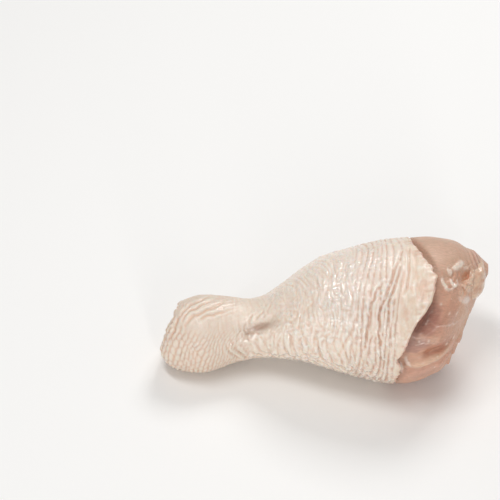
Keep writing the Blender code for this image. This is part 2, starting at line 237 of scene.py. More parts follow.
@dataclass(frozen=True)
class Cells:
    """A jittered brick lattice of cells round the leg, as scales or goose bumps lie."""

    laps: int
    jitter: float
    seed: int
    drawn_rows: int = 97

    def read(self, across: Array, turn: Array) -> tuple[Array, Array, Array]:
        """Finds the nearest cells of each place.

        Every cell's middle is moved off its lattice place by up to the jitter, and odd rows are shifted by
        half a cell. The distances are counted in cells.

        Args:
            across: The place along the leg, counted in rows of cells.
            turn: The place round the leg in degrees.

        Returns:
            The distance to the nearest middle, that to the second nearest, and a number from 0 to 1 that is
            the same all over a cell.
        """
        draw = np.random.default_rng(self.seed)
        drift = draw.uniform(-self.jitter, self.jitter, size=(self.drawn_rows, self.laps, 2))
        tone = draw.uniform(0, 1, size=(self.drawn_rows, self.laps))
        nearest = np.full(across.shape, np.inf)
        second = nearest
        own = np.zeros(across.shape)
        lap = turn / 360 * self.laps
        for step_row, step_lap in product((-1, 0, 1), repeat=2):
            row = np.floor(across).astype(int) + step_row
            shifted = lap + 0.5 * (row & 1)
            cell = np.floor(shifted).astype(int) + step_lap
            drawn = (row % self.drawn_rows, cell % self.laps)
            moved = drift[drawn]
            gap = np.hypot(across - row - 0.5 - moved[..., 0], shifted - cell - 0.5 - moved[..., 1])
            closer = gap < nearest
            second = np.where(closer, nearest, np.minimum(second, gap))
            own = np.where(closer, tone[drawn], own)
            nearest = np.where(closer, gap, nearest)
        return nearest, second, own


@dataclass(frozen=True)
class Crease:
    """A line pressed into the surface, with a soft shoulder on both sides."""

    line: tuple[Pair, ...]
    depth: float
    width: float
    shoulder: float = 0.35

    def near(self, spot: Spots) -> tuple[Array, Array]:
        """Finds each spot's distance from the line.

        Args:
            spot: Where to read it.

        Returns:
            The distance over the line's width, and a share that fades towards both ends of the line.
        """
        keyed = tuple((i, *place) for i, place in enumerate(self.line))
        steps = np.linspace(0, len(self.line) - 1, 4 * len(self.line) - 3)
        places = curve_rows(keyed, steps)
        nearest = np.full(spot.along.shape, np.inf)
        share = np.zeros(spot.along.shape)
        for i, (here, there) in enumerate(zip(places, places[1:])):
            run_x = there[0] - here[0]
            run_w = np.radians(there[1] - here[1]) * spot.radius
            off_x, off_w = spot.along - here[0], spot.round_from(here[1])
            t = unit((off_x * run_x + off_w * run_w) / (run_x**2 + run_w**2))
            gap = np.hypot(off_x - t * run_x, off_w - t * run_w)
            share = np.where(gap < nearest, (i + t) / (len(places) - 1), share)
            nearest = np.minimum(nearest, gap)
        return nearest / self.width, np.sqrt(np.sin(np.pi * np.clip(share, 0.03, 0.97)))

    def height(self, spot: Spots) -> Array:
        """The relief near the line: at distance d, -exp(-d^2) plus the shoulder times exp(-(d - 2)^2)."""
        d, fade = self.near(spot)
        return self.depth * fade * (self.shoulder * np.exp(-((d - 2) ** 2)) - np.exp(-(d**2)))


@dataclass(frozen=True)
class LegForm:
    """The leg's outer form, which the solids follow too.

    Rows of stations hold x, centre y, centre z, half width and half height. Those of skin_edge hold a turn,
    where the folds stop there and where the skin stops. Wrinkles grow between the two heights of contact
    over the floor.
    """

    stations: Rows = (
        (-0.0520, 0.0020, 0.0142, 0.0135, 0.0127),
        (-0.0460, 0.0012, 0.0139, 0.0149, 0.0139),
        (-0.0400, 0.0016, 0.0142, 0.0142, 0.0132),
        (-0.0340, 0.0020, 0.0149, 0.0126, 0.0119),
        (-0.0280, 0.0018, 0.0156, 0.0114, 0.0112),
        (-0.0220, 0.0017, 0.0172, 0.0119, 0.0118),
        (-0.0160, 0.0015, 0.0198, 0.0141, 0.0140),
        (-0.0090, 0.0012, 0.0230, 0.0174, 0.0170),
        (-0.0020, 0.0008, 0.0250, 0.0206, 0.0199),
        (0.0060, 0.0005, 0.0254, 0.0234, 0.0222),
        (0.0130, 0.0002, 0.0257, 0.0256, 0.0240),
        (0.0200, 0.0000, 0.0259, 0.0274, 0.0254),
        (0.0260, 0.0000, 0.0260, 0.0282, 0.0260),
        (0.0320, 0.0001, 0.0264, 0.0282, 0.0259),
        (0.0380, 0.0005, 0.0277, 0.0270, 0.0249),
        (0.0430, 0.0011, 0.0286, 0.0252, 0.0231),
        (0.0480, 0.0035, 0.0311, 0.0207, 0.0187),
        (0.0520, 0.0059, 0.0338, 0.0147, 0.0129),
        (0.0550, 0.0077, 0.0358, 0.0106, 0.0091),
        (0.0580, 0.0091, 0.0371, 0.0054, 0.0046),
        (0.0600, 0.0099, 0.0378, 0.0020, 0.0018),
    )
    settle: float = 0.0009
    off_centre: Pair = (0.000389, 0.000180)
    hock_x: float = -0.046
    skin_thickness: float = 0.0019
    contact: Pair = (0.0006, 0.0050)
    least_radius: float = 0.004
    skin_edge: Rows = (
        (25, 0.0262, 0.0284),
        (50, 0.0280, 0.0299),
        (76, 0.0290, 0.0330),
        (98, 0.0280, 0.0374),
        (114, 0.0270, 0.0400),
        (134, 0.0262, 0.0378),
        (150, 0.0256, 0.0320),
        (164, 0.0254, 0.0280),
        (182, 0.0252, 0.0272),
        (200, 0.0244, 0.0262),
        (225, 0.0224, 0.0244),
        (270, 0.0212, 0.0236),
        (320, 0.0230, 0.0254),
        (360, 0.0248, 0.0270),
    )

    def edges(self, turn: Array) -> tuple[Array, Array]:
        """Where the skin's folds stop and where the skin itself stops, as x, at each turn."""
        found = round_rows(self.skin_edge, turn)
        return found[..., 0], found[..., 1]

    def past_folds(self, spot: Spots) -> tuple[Array, Array]:
        """How far each spot lies past the end of the folds, and that as a share of the way to the edge."""
        fold_end, edge = self.edges(spot.turn)
        past = spot.along - fold_end
        return past, unit(past / (edge - fold_end))

    def skin_depth(self, spot: Spots) -> Array:
        """How thick the skin is: it thins to half towards its cut edge."""
        return self.skin_thickness * (1 - 0.5 * rise(self.past_folds(spot)[1], 0.0, 1.0))

    def snug(self, turn: Array) -> Array:
        """1 where the skin's edge lies close on the meat, 0 at the front, where it stands off."""
        return 1 - band(turn % 360, 112, 134, 196, 216)

    def section(self, x: Array) -> Array:
        """Centre y, centre z, half width and half height at x."""
        return curve_rows(self.stations, np.clip(x, self.stations[0][0], self.stations[-1][0]))

    def spots(self, x: Array, turn: Array) -> Spots:
        """The spots of the leg at x and a turn."""
        part = self.section(x)
        x, turn = np.broadcast_arrays(x, turn)
        return Spots(x, turn, np.maximum((part[..., 2] + part[..., 3]) / 2, self.least_radius) + 0 * x)

    def point(self, x: Array, turn: Array, lift: Amount = 0.0, share: Amount = 1.0) -> Array:
        """The point at a turn of the section at x: an ellipse, grown by the lift and scaled by the share."""
        y, z, wide, high = np.moveaxis(self.section(x), -1, 0)
        return round_points(x, turn, (wide + lift) * share, (high + lift) * share, y, z)

    def placed(self, points: Array) -> Array:
        """The points after the soft leg has settled on the floor and its box is centred."""
        moved = points + (*self.off_centre, -self.settle)
        moved[..., 2] = np.maximum(moved[..., 2], 0.0)
        return moved

    def unplaced(self, points: Array) -> Array:
        """The points before they were settled and centred."""
        return points - (*self.off_centre, -self.settle)

    def off_floor(self, points: Array) -> Array:
        """0 where the leg lies on the floor, 1 well above it, so that no wrinkle lifts it."""
        return rise(points[..., 2], *self.contact)


class Wire:
    """A number in a material that changes over the surface: arithmetic on it adds the nodes for it."""

    def __init__(self, shop: "Shader", socket: bpy.types.NodeSocket) -> None:
        """Keeps the shader that it belongs to and the socket that gives it."""
        self.shop = shop
        self.socket = socket

    def _maths(self, operation: str, *values: "Wire | float") -> "Wire":
        """One Math node on the values."""
        return self.shop.node("ShaderNodeMath", dict(enumerate(values)), operation=operation)

    def __add__(self, other: "Wire | float") -> "Wire":
        """self + other."""
        return self._maths("ADD", self, other)

    __radd__ = __add__

    def __sub__(self, other: "Wire | float") -> "Wire":
        """self - other."""
        return self._maths("SUBTRACT", self, other)

    def __rsub__(self, other: "Wire | float") -> "Wire":
        """other - self."""
        return self._maths("SUBTRACT", other, self)

    def __mul__(self, other: "Wire | float") -> "Wire":
        """self times other."""
        return self._maths("MULTIPLY", self, other)

    __rmul__ = __mul__

    def size(self) -> "Wire":
        """Without its sign."""
        return self._maths("ABSOLUTE", self)

    def clamp(self) -> "Wire":
        """Kept between 0 and 1."""
        return self._maths("MINIMUM", self._maths("MAXIMUM", self, 0.0), 1.0)


class Shader:
    """A material in the making, with its Principled shader."""

    def __init__(self, name: str) -> None:
        """Starts an empty material."""
        self.material = bpy.data.materials.new(name)
        self.material.use_nodes = True
        self.tree = self.material.node_tree
        self.principled = self.tree.nodes["Principled BSDF"]

    def node(
        self, kind: str, inputs: dict | None = None, out: int = 0, stops: Rows = (), **settings: object
    ) -> Wire:
        """Adds any node.

        Args:
            kind: The node's type.
            inputs: Values or wires for its sockets, by name or number.
            out: Which output to give back.
            stops: For a ramp, its rows of place and value.
            settings: The node's own settings, set before its sockets.

        Returns:
            The wire from that output.
        """
        made = self.tree.nodes.new(kind)
        for name, value in settings.items():
            setattr(made, name, value)
        for i, (place, level) in enumerate(stops):
            ramp = made.color_ramp.elements
            stop = ramp[i] if i < len(ramp) else ramp.new(place)
            stop.position, stop.color = place, (level, level, level, 1)
        for name, value in (inputs or {}).items():
            self.feed(made.inputs[name], value)
        return Wire(self, made.outputs[out])

    def feed(self, socket: bpy.types.NodeSocket, value: object) -> None:
        """Links a wire to a socket, or sets its constant."""
        if isinstance(value, Wire):
            self.tree.links.new(value.socket, socket)
        elif isinstance(value, tuple) and socket.type == "RGBA":
            socket.default_value = (*value, 1.0)
        else:
            socket.default_value = value

    def set(self, **values: object) -> None:
        """Sets or links the Principled shader's sockets, with an underscore for each space in a name."""
        for name, value in values.items():
            self.feed(self.principled.inputs[name.replace("_", " ")], value)

    def place(self, stretch: Triple = (1, 1, 1)) -> Wire:
        """Object coordinates, stretched along each axis."""
        spot = self.node("ShaderNodeTexCoord", out=3)
        return self.node("ShaderNodeMapping", {"Vector": spot, "Scale": stretch})

    def noise(self, place: Wire, scale: float, detail: float = 2.0, rough: float = 0.5) -> Wire:
        """Noise from 0 to 1, with scale hills a metre."""
        given = {"Vector": place, "Scale": scale, "Detail": detail, "Roughness": rough}
        return self.node("ShaderNodeTexNoise", given)

    def attribute(self, name: str, out: int = 2) -> Wire:
        """What the mesh carries under a name, as a number, or as a colour with output 0."""
        return self.node("ShaderNodeAttribute", out=out, attribute_name=name)

    def mix(self, share: Wire | float, a: "Wire | Colour", b: "Wire | Colour", way: str = "MIX") -> Wire:
        """Two colours mixed by a share."""
        return self.node("ShaderNodeMix", {0: share, 6: a, 7: b}, out=2, data_type="RGBA", blend_type=way)

    def bump(self, height: Wire, distance: float) -> Wire:
        """A normal from a height that counts distances."""
        return self.node("ShaderNodeBump", {"Strength": 1.0, "Distance": distance, "Height": height})

    def dots(self, place: Wire, scale: float, reach: float, steep: float, way: str = "SMOOTH_F1") -> Wire:
        """Dots, scale of them a metre: 0 from the reach on, and steeply up to 1 nearer to their middles."""
        away = self.node("ShaderNodeTexVoronoi", {"Vector": place, "Scale": scale}, feature=way)
        return ((reach - away) * steep).clamp()

    def shaded(self, tint: Wire, grain: Wire, low: float, high: float) -> Wire:
        """The tint times a shade that goes from low to high where the grain goes from 0.3 to 0.7."""
        shade = self.node("ShaderNodeValToRGB", {0: grain}, stops=((0.30, low), (0.70, high)))
        return self.mix(1.0, tint, shade, "MULTIPLY")


@dataclass(frozen=True)
class SkinFinish:
    """Raw poultry skin: pale, wet, a little see-through, with fine creases, and glints painted pale on its
    dew.

    Grain, blotches, wrinkles, beads and dew are counted by the metre.
    """

    name: str = "raw_skin"
    grain: float = 1500
    blotches: float = 260
    wrinkles: float = 640
    beads: float = 620
    dew: float = 700
    drawn_out: Triple = (1.0, 0.30, 0.30)
    blotch: Colour = srgb(232, 216, 200)
    dew_glint: Colour = srgb(250, 243, 234)
    relief: float = 0.00055
    depth: float = 0.0011
    spread: Colour = (1.0, 0.50, 0.33)

    def material(self) -> bpy.types.Material:
        """Builds the material."""
        s = Shader(self.name)
        place, round_it = s.place(), s.place(self.drawn_out)
        wet, beady = s.attribute("wet"), s.attribute("beady")
        grain = s.noise(place, self.grain, 3.0, 0.6)
        wrinkle = (2.0 * s.noise(round_it, self.wrinkles, 1.0) - 1.0).size()
        bead = s.dots(round_it, self.beads, 0.62, 2.0)
        dew = s.dots(place, self.dew, 0.50, 2.4) * beady
        tint = s.attribute("tint", 0)
        pale = s.mix((s.noise(place, self.blotches, 3.0, 0.6) - 0.42) * 2.2, tint, self.blotch)
        tint = s.shaded(s.mix(0.2, tint, pale), grain, 0.96, 1.03)
        height = 0.05 * grain + (0.7 * wrinkle + 0.6 * bead) * (0.25 + 0.75 * beady) + 0.5 * dew
        s.set(
            # painted glints: the dew's dots are mixed pale into the base colour
            Base_Color=s.mix(0.8 * dew, tint, self.dew_glint),
            Roughness=(0.36 - 0.28 * wet + 0.12 * (grain - 0.5) - 0.34 * dew).clamp() + 0.11,
            Specular_IOR_Level=1.0,
            Coat_Weight=(0.05 + 0.93 * wet).clamp(),
            Coat_Roughness=0.06,
            Coat_IOR=1.65,
            Subsurface_Weight=0.25,
            Subsurface_Scale=self.depth,
            Subsurface_Radius=self.spread,
            Normal=s.bump(height, self.relief),
        )
        return s.material


@dataclass(frozen=True)
class MeatFinish:
    """Bare raw muscle under a thin, wet membrane, with painted glints. Fibres, blotches and glint specks are
    counted by the metre.
    """

    name: str = "raw_meat"
    fibres: float = 1700
    blotches: float = 420
    glint_specks: float = 330
    drawn_out: Triple = (0.22, 1.0, 1.0)
    blotch: Colour = srgb(216, 172, 146)
    glint_speck: Colour = srgb(236, 220, 204)
    relief: float = 0.00020
    depth: float = 0.0016
    spread: Colour = (1.0, 0.42, 0.30)

    def material(self) -> bpy.types.Material:
        """Builds the material."""
        s = Shader(self.name)
        wet = s.attribute("wet")
        fibre = s.noise(s.place(self.drawn_out), self.fibres, 3.0, 0.6)
        blotch = s.noise(s.place(), self.blotches, 3.0, 0.55)
        # painted glints: pale specks, where the blotches run high, mixed into the base colour
        glint_speck = s.dots(s.place(), self.glint_specks, 0.13, 20, "F1") * ((blotch - 0.52) * 12).clamp()
        tint = s.shaded(s.attribute("tint", 0), fibre, 0.86, 1.10)
        tint = s.mix((1.6 * blotch - 0.62).clamp() * 0.35, tint, self.blotch)
        s.set(
            Base_Color=s.mix(0.6 * glint_speck, tint, self.glint_speck),
            Roughness=(0.50 - 0.2 * wet + 0.10 * (blotch - 0.5)).clamp(),
            Coat_Weight=(0.05 + 0.9 * wet).clamp(),
            Coat_Roughness=0.10,
            Subsurface_Weight=0.30,
            Subsurface_Scale=self.depth,
            Subsurface_Radius=self.spread,
            Normal=s.bump(0.6 * fibre + 0.5 * blotch, self.relief),
        )
        return s.material


@dataclass(frozen=True)
class BoneFinish:
    """Cartilage over the ends of a raw bone: smooth, milky and wet, its grains counted by the metre."""

    name: str = "raw_cartilage"
    blotches: float = 300
    grain: float = 1400
    blotch: Colour = srgb(202, 150, 124)
    relief: float = 0.0002
    depth: float = 0.0015
    spread: Colour = (1.0, 0.6, 0.45)

    def material(self) -> bpy.types.Material:
        """Builds the material."""
        s = Shader(self.name)
        blotch = s.noise(s.place(), self.blotches, 3.0, 0.55)
        grain = s.noise(s.place(), self.grain, 2.0)
        tint = s.mix((5.0 * blotch - 2.3).clamp() * 0.75, s.attribute("tint", 0), self.blotch)
        s.set(
            Base_Color=s.shaded(tint, grain, 0.93, 1.05),
            Roughness=(0.22 + 0.2 * blotch).clamp(),
            Coat_Weight=0.6,
            Coat_Roughness=0.08,
            Subsurface_Weight=0.3,
            Subsurface_Scale=self.depth,
            Subsurface_Radius=self.spread,
            Normal=s.bump(blotch + 0.4 * grain, self.relief),
        )
        return s.material


def lofted(name: str, rings: Array, ends: Array | None = None) -> bpy.types.Mesh:
    """A closed skin of quads through rings of points.

    Point c of ring r joins point c of ring r + 1, and the last column joins the first. With no end points the
    last ring joins the first too, otherwise a fan of triangles closes each end.

    Args:
        name: The mesh's name.
        rings: The points, as rings, columns and x, y, z.
        ends: The two points that close the first and the last ring.

    Returns:
        The mesh, shaded smooth.
    """
    count, columns = rings.shape[:2]
    index = np.arange(count * columns).reshape(count, columns)
    here = index if ends is None else index[:-1]
    there = np.roll(index, -1, axis=0) if ends is None else index[1:]
    quads = np.stack((here, np.roll(here, -1, 1), np.roll(there, -1, 1), there), axis=-1).reshape(-1, 4)
    points = rings.reshape(-1, 3)
    faces = quads.tolist()
    if ends is not None:
        points = np.concatenate((points, ends))
        first, last = index[0], index[-1]
        low = np.full(columns, count * columns)
        faces += np.stack((low, np.roll(first, -1), first), axis=-1).tolist()
        faces += np.stack((low + 1, last, np.roll(last, -1)), axis=-1).tolist()
    mesh = bpy.data.meshes.new(name)
    mesh.from_pydata(points, [], faces)
    mesh.shade_smooth()
    return mesh


def paint(mesh: bpy.types.Mesh, tint: Array, **shares: Array) -> None:
    """Gives each vertex its colour, and shares such as how wet it is, each under its name."""
    layer = mesh.attributes.new("tint", "FLOAT_COLOR", "POINT")
    layer.data.foreach_set("color", np.concatenate((tint, np.ones((len(tint), 1))), axis=1).ravel())
    for name, share in shares.items():
        mesh.attributes.new(name, "FLOAT", "POINT").data.foreach_set("value", np.ravel(share))


def points_of(mesh: bpy.types.Mesh) -> Array:
    """The mesh's points, one a row."""
    flat = np.empty(len(mesh.vertices) * 3)
    mesh.vertices.foreach_get("co", flat)
    return flat.reshape(-1, 3)


def hung(name: str, data: bpy.types.ID) -> bpy.types.Object:
    """A new object with the data, linked to the scene."""
    made = bpy.data.objects.new(name, data)
    bpy.context.scene.collection.objects.link(made)
    return made


def aimed(name: str, data: bpy.types.ID, stand: Vector, back: Vector) -> bpy.types.Object:
    """A lamp or a camera where it stands, with its back turned to a direction."""
    made = hung(name, data)
    made.location = stand
    made.rotation_mode = "QUATERNION"
    made.rotation_quaternion = back.to_track_quat("Z", "Y")
    return made


def piece(name: str, mesh: bpy.types.Mesh, finish: bpy.types.Material, node: str) -> None:
    """Links a finished mesh to the scene under its body, and hides the CAD node that it replaces.

    Args:
        name: The piece's name.
        mesh: Its mesh, in place.
        finish: Its material.
        node: The CAD node that it replaces.
    """
    mesh.materials.clear()
    mesh.materials.append(finish)
    made = hung(name, mesh)
    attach(made, BODY)
    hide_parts(node)
    LOG.info("%s: %d vertices", name, len(mesh.vertices))


def smeared(height: Array, steps: int) -> Array:
    """The height averaged over its neighbours on the grid, steps times."""
    for _ in range(steps):
        height = (height + np.roll(height, 1, 0) + np.roll(height, -1, 0)) / 3
        height = (height + np.roll(height, 1, 1) + np.roll(height, -1, 1)) / 3
    return height


@dataclass(frozen=True)
class Skin:
    """The wrinkled skin: a sleeve that is open at the hock and at the knee end.

    Rows of edge_waves hold a height, a count and a start, those of edge_notches a height, a turn and a width,
    and those of hock_sides a middle's turn, the way up from it, and where its wrinkles start and where they
    are full. flap holds a turn, a height and a spread, and apron_heights those of lumps, wrinkles and gathers.
    """

    form: LegForm
    columns: int = 290
    cap_rings: int = 42
    body_rings: int = 232
    apron_rings: int = 24
    rim_rings: int = 7
    lining_rings: int = 16
    opening_centre: Triple = (-0.0565, 0.0054, 0.0161)
    opening_normal: Triple = (-0.91, 0.30, 0.27)
    opening_radius: float = 0.0078
    opening_uneven: Pair = (0.10, 0.0008)
    cap_tight_turn: float = 50.0
    cap_tight: Triple = (0.0020, 0.0040, 0.0080)
    cap_heel: Triple = (0.0290, -0.0025, 0.0225)
    shank_radius: float = 0.0115
    dimple_ends: Rows = ((-0.0275, 146), (-0.0195, 131))
    dimple_depth: float = 0.0012
    dimple_radius: float = 0.0022
    fold_pitch: float = 0.0021
    fold_depth: float = 0.0006
    crumple_height: float = 0.0006
    edge_waves: Rows = ((0.0005, 7, 0.6), (0.0003, 13, 2.0))
    edge_notches: Rows = ((0.0011, 107, 2.5), (0.0008, 114, 7))
    edge_drawn_back: float = 0.0008
    edge_torn: float = 0.0012
    edge_nicks: Pair = (0.0005, 0.0002)
    edge_sunk: float = 0.0003
    knee_rim: float = 0.0008
    hock_rim: float = 0.0007
    edge_radius: float = 0.028
    cut_grain: float = 0.0030
    flap: Triple = (140.0, 0.0009, 54.0)
    apron_heights: Triple = (0.00036, 0.00018, 0.0010)
    hollow_unit: float = 0.0001
    scale_lean: float = 0.0064
    scale_rows: Rows = ((-0.0700, 0.0), (-0.0560, 5.4), (-0.0460, 10.7), (-0.0360, 17.2), (-0.0220, 28.9))
    scale_sizes: Rows = (
        (-0.066, 0.00053),
        (-0.054, 0.00045),
        (-0.044, 0.00035),
        (-0.034, 0.00022),
        (-0.024, 0.0),
    )
    hock_middle: float = -0.042
    hock_radius: float = 0.014
    hock_sides: Rows = ((128.0, -1, 0.0015, 0.0050), (-12.0, 1, 0.0030, 0.0060))
    hock_pitch: float = 0.0022
    hock_height: float = 0.00017
    fine_height: float = 0.00048
    finer_height: float = 0.00012
    coarse_height: float = 0.00090
    cobble_height: float = 0.00050
    lump_height: float = 0.00010
    bump_height: float = 0.00026
    bump_pitches: Pair = (0.0032, 0.0018)
    creases: tuple[Crease, ...] = (
        Crease(
            ((-0.0525, 132), (-0.0500, 116), (-0.0466, 107), (-0.0432, 100), (-0.0397, 89), (-0.0373, 80)),
            0.00045, 0.0006,
        ),
        Crease(
            ((-0.0538, 128), (-0.0519, 112), (-0.0486, 99), (-0.0450, 88), (-0.0411, 78)), 0.00040, 0.0005,
        ),
        Crease(
            ((-0.0549, 121), (-0.0532, 107), (-0.0501, 91), (-0.0466, 80), (-0.0436, 71)), 0.00045, 0.0006,
        ),
        Crease(((-0.0466, 115), (-0.0432, 111), (-0.0401, 107), (-0.0359, 101)), 0.00035, 0.0006),
        Crease(
            ((-0.0578, 109), (-0.0598, 136), (-0.0624, 156), (-0.0628, 176), (-0.0627, 190)), 0.0005, 0.0006,
        ),
        Crease(((-0.0556, 124), (-0.0568, 140), (-0.0581, 157), (-0.0588, 172)), 0.0005, 0.0006),
        Crease(((-0.0276, 133), (-0.0279, 122), (-0.0269, 111)), 0.0003, 0.0004),
        Crease(((-0.0262, 124), (-0.0244, 118), (-0.0223, 111)), 0.0003, 0.0005),
        Crease(((-0.0242, 133), (-0.0210, 111), (-0.0186, 90)), 0.0002, 0.0006),
        Crease(((-0.0293, 147), (-0.0300, 136), (-0.0293, 126)), 0.0003, 0.0004),
        Crease(((-0.0317, 155), (-0.0321, 146), (-0.0310, 137)), 0.0003, 0.0004),
        Crease(((-0.0262, 140), (-0.0237, 137), (-0.0210, 134)), 0.0004, 0.0010, 0.6),
        Crease(((-0.0303, 149), (-0.0269, 149), (-0.0230, 152)), 0.0003, 0.0005),
        Crease(((-0.0345, 160), (-0.0328, 177), (-0.0300, 198), (-0.0269, 227)), 0.0005, 0.0006),
        Crease(((-0.0363, 164), (-0.0352, 179), (-0.0331, 197)), 0.0003, 0.0005),
        Crease(((-0.0145, 150), (-0.0125, 179), (-0.0115, 204)), 0.0003, 0.0008),
        Crease(((-0.0039, 155), (-0.0036, 174), (-0.0022, 190), (0.0006, 204)), 0.0005, 0.0006),
        Crease(((0.0017, 152), (-0.0001, 166), (0.0010, 178)), 0.0003, 0.0006),
        Crease(((0.0110, 141), (0.0097, 150), (0.0083, 160), (0.0062, 171), (0.0048, 185)), 0.0004, 0.0006),
        Crease(((0.0145, 139), (0.0152, 147), (0.0145, 157), (0.0138, 168), (0.0121, 182)), 0.0005, 0.0005),
        Crease(
            ((0.0201, 114), (0.0177, 122), (0.0163, 132), (0.0156, 141), (0.0159, 149), (0.0150, 190)),
            0.0005, 0.0005,
        ),
        Crease(
            ((0.0275, 84), (0.0239, 110), (0.0201, 131), (0.0190, 141), (0.0190, 166), (0.0205, 190)),
            0.0007, 0.0005,
        ),
        Crease(((0.0267, 101), (0.0246, 117), (0.0225, 129), (0.0222, 139), (0.0230, 165)), 0.0006, 0.0005),
        Crease(((0.0300, 80), (0.0295, 111), (0.0278, 124)), 0.0004, 0.0004),
    )

    def cap(self, share: Array, turn: Array) -> tuple[Array, Array]:
        """The skin over the hock, from the opening at share 0 to the widest section at share 1.

        Each strip is a Hermite cubic. It starts on a tilted circle, the opening, pulled along the circle's
        spoke and along x, and ends on the leg's section, pulled along x. High up and behind the pulls are
        short, low in front they are long, so that the skin swells into a heel there.

        Args:
            share: The way along the strip, 0 to 1.
            turn: The strip's turn.

        Returns:
            The points, and the way out of the skin at each.
        """
        normal = direction(np.array(self.opening_normal))
        spoke = round_points(0 * turn, turn, 1.0, 1.0)
        spoke = direction(spoke - normal * (spoke @ normal)[..., None])
        uneven, jut = self.opening_uneven
        start = spoke * self.opening_radius * (1 + uneven * Noise(84).at(spoke * 2.6)[..., None])
        start = np.array(self.opening_centre) + start
        start = start + normal * jut * (Noise(85).at(spoke * 4.0)[..., None] + 0.5 * spoke[..., 2:])
        end = self.form.point(self.form.hock_x + 0 * turn, turn)
        low = (1 - np.cos(np.radians(turn - self.cap_tight_turn)))[..., None] / 2
        pull = blend(np.array(self.cap_tight), np.array(self.cap_heel), low)
        leaving = spoke * pull[..., :1] + ALONG * pull[..., 1:2]
        t = share[..., None]
        point = hermite(start, leaving, end, ALONG * pull[..., 2:], t)
        middle = self.form.section(point[..., 0])
        centre = np.stack((point[..., 0], middle[..., 0], middle[..., 1]), axis=-1)
        return point, direction(direction(point - centre) + normal * (1 - t))

    def hock_relief(self, spot: Spots) -> Array:
        """The relief of the hock: scales low down, long wrinkles above that bend round its smooth middle.

        A scale is 1 in its middle and falls to 0 where the nearest and the second nearest middles are equally
        far. The wrinkles are ridges of the distance from a middle in front and from one behind.
        """
        warp = spot.hills(11, 0.006, 0.008)
        wavy = spot.moved(0.0008 * warp, 0.0012 * warp)
        fan = wavy.along + self.scale_lean * np.sin(np.radians(wavy.turn - 130))
        rows = np.interp(fan, *np.array(self.scale_rows).T)
        nearest, second, own = Cells(28, 0.20, 5).read(rows, wavy.turn)
        scale = rise(second - nearest, 0.0, 0.42) * (1.15 - 0.9 * nearest**2) * (0.75 + 0.4 * own)
        scale = 0.55 * scale + 0.75 * ridges(rows) ** 0.6
        size = curve_rows(self.scale_sizes, spot.along)[..., 0]
        under = band(spot.turn % 360, 128, 156, 300, 330)
        relief = scale * size * under * (1 - rise(spot.along, -0.030, -0.022))
        height = self.hock_height * np.clip(0.7 + 0.8 * spot.hills(12, 0.008, 0.004), 0.1, 1.2)
        height *= 1 - rise(spot.along, -0.036, -0.028)
        off = wavy.along - self.hock_middle
        for middle, way, start, full in self.hock_sides:
            across = way * np.radians(turn_between(wavy.turn, middle)) * self.hock_radius
            reach = np.hypot(np.minimum(off, 0.0) * 1.5, across) - 0.4 * np.maximum(off, 0.0)
            ripple = ridges(reach / self.hock_pitch) ** 0.7 - 0.6
            relief += ripple * band(across, start, full, 0.0165, 0.0185) * height
        return relief

    def body_relief(self, spot: Spots) -> Array:
        """The relief of the calf: fine wrinkles round the leg above, coarse cobbled ones below.

        Goose bumps are small hills on a brick lattice.
        """
        a = np.radians(spot.turn)
        low = unit(0.52 - 0.48 * np.sin(a + 0.25))
        warp = spot.hills(21, 0.009, 0.012)
        slant = 0.55 * spot.blob(-0.012, 82, 0.010, 0.014)
        bent = spot.moved(0.0016 * warp - slant * spot.round_from(100), 0.0)
        cobble_pitch, bump_pitch = self.bump_pitches
        rows = bent.along / cobble_pitch + 0.5 * warp
        nearest, second, _ = Cells(20, 0.36, 8).read(rows, bent.turn + 30 * warp)
        cobble = rise(second - nearest, 0.0, 0.45) * (1.1 - 0.8 * nearest**2)
        nearest, _, own = Cells(34, 0.32, 7).read(bent.along / bump_pitch, bent.turn + 40 * warp)
        bump = (1 - rise(nearest, 0.08, 0.34)) * own
        there = rise(spot.along, -0.050, -0.024) * (1 - 0.6 * spot.blob(-0.026, 100, 0.010, 0.010))
        smooth = (1 - 0.6 * spot.blob(0.020, 88, 0.012, 0.018)) * (1 - 0.30 * rise(np.sin(a), 0.3, 0.9))
        fine = self.fine_height * bent.wrinkles(22, 0.0015, 0.0090)
        relief = (fine + self.finer_height * bent.wrinkles(23, 0.0012, 0.0034)) * smooth * (1 - 0.6 * low)
        under = 1 - 0.65 * band(spot.turn % 360, 200, 228, 320, 345)
        coarse = self.coarse_height * bent.wrinkles(24, 0.0034, 0.0085, 0.28)
        relief += (coarse + self.cobble_height * (cobble - 0.6)) * low * under
        lumpy = 0.35 + low + 3.0 * spot.blob(-0.0215, 172, 0.010, 0.0060)
        relief += self.lump_height * spot.hills(25, 0.0021, 0.0026) * lumpy
        relief += self.bump_height * bump * (0.3 + 0.7 * smooth)
        return relief * there

    def fold_relief(self, spot: Spots) -> Array:
        """The deep folds behind the skin's edge: ridges of a warped phase, uneven in depth, and crumples."""
        past, _ = self.form.past_folds(spot)
        ridge = ridges(0.9 * spot.hills(31, 0.008, 0.020) - past / self.fold_pitch) ** 0.8
        uneven = np.clip(0.85 + 0.7 * spot.hills(32, 0.0032, 0.018), 0.2, 1.3)
        there = band(past, -0.022, -0.012, -0.0012, 0.0010)
        low = 0.75 - 0.25 * np.sin(np.radians(spot.turn) + 0.1)
        low *= 1 - 0.4 * band(spot.turn % 360, 205, 235, 320, 345)
        near = band(past, -0.009, -0.004, -0.0005, 0.0015) * band(spot.turn, 125, 150, 260, 300)
        crumpled = self.crumple_height * spot.wrinkles(33, 0.0022, 0.0075) * near
        return crumpled + self.fold_depth * (ridge - 0.7) * there * low * uneven

    def apron_relief(self, spot: Spots) -> Array:
        """The loose apron past the folds: soft lumps, and short wrinkles that run to its edge."""
        past, share = self.form.past_folds(spot)
        lump, wrinkle, gather = self.apron_heights
        lumps = lump * spot.hills(41, 0.0038, 0.0042)
        fine = wrinkle * spot.wrinkles(43, 0.0013, 0.0070) * (1 - 0.5 * share)
        gathers = gather * spot.wrinkles(42, 0.010, 0.0022) * rise(share, 0.45, 1.0)
        return rise(past, -0.0015, 0.0015) * (lumps + fine + gathers)

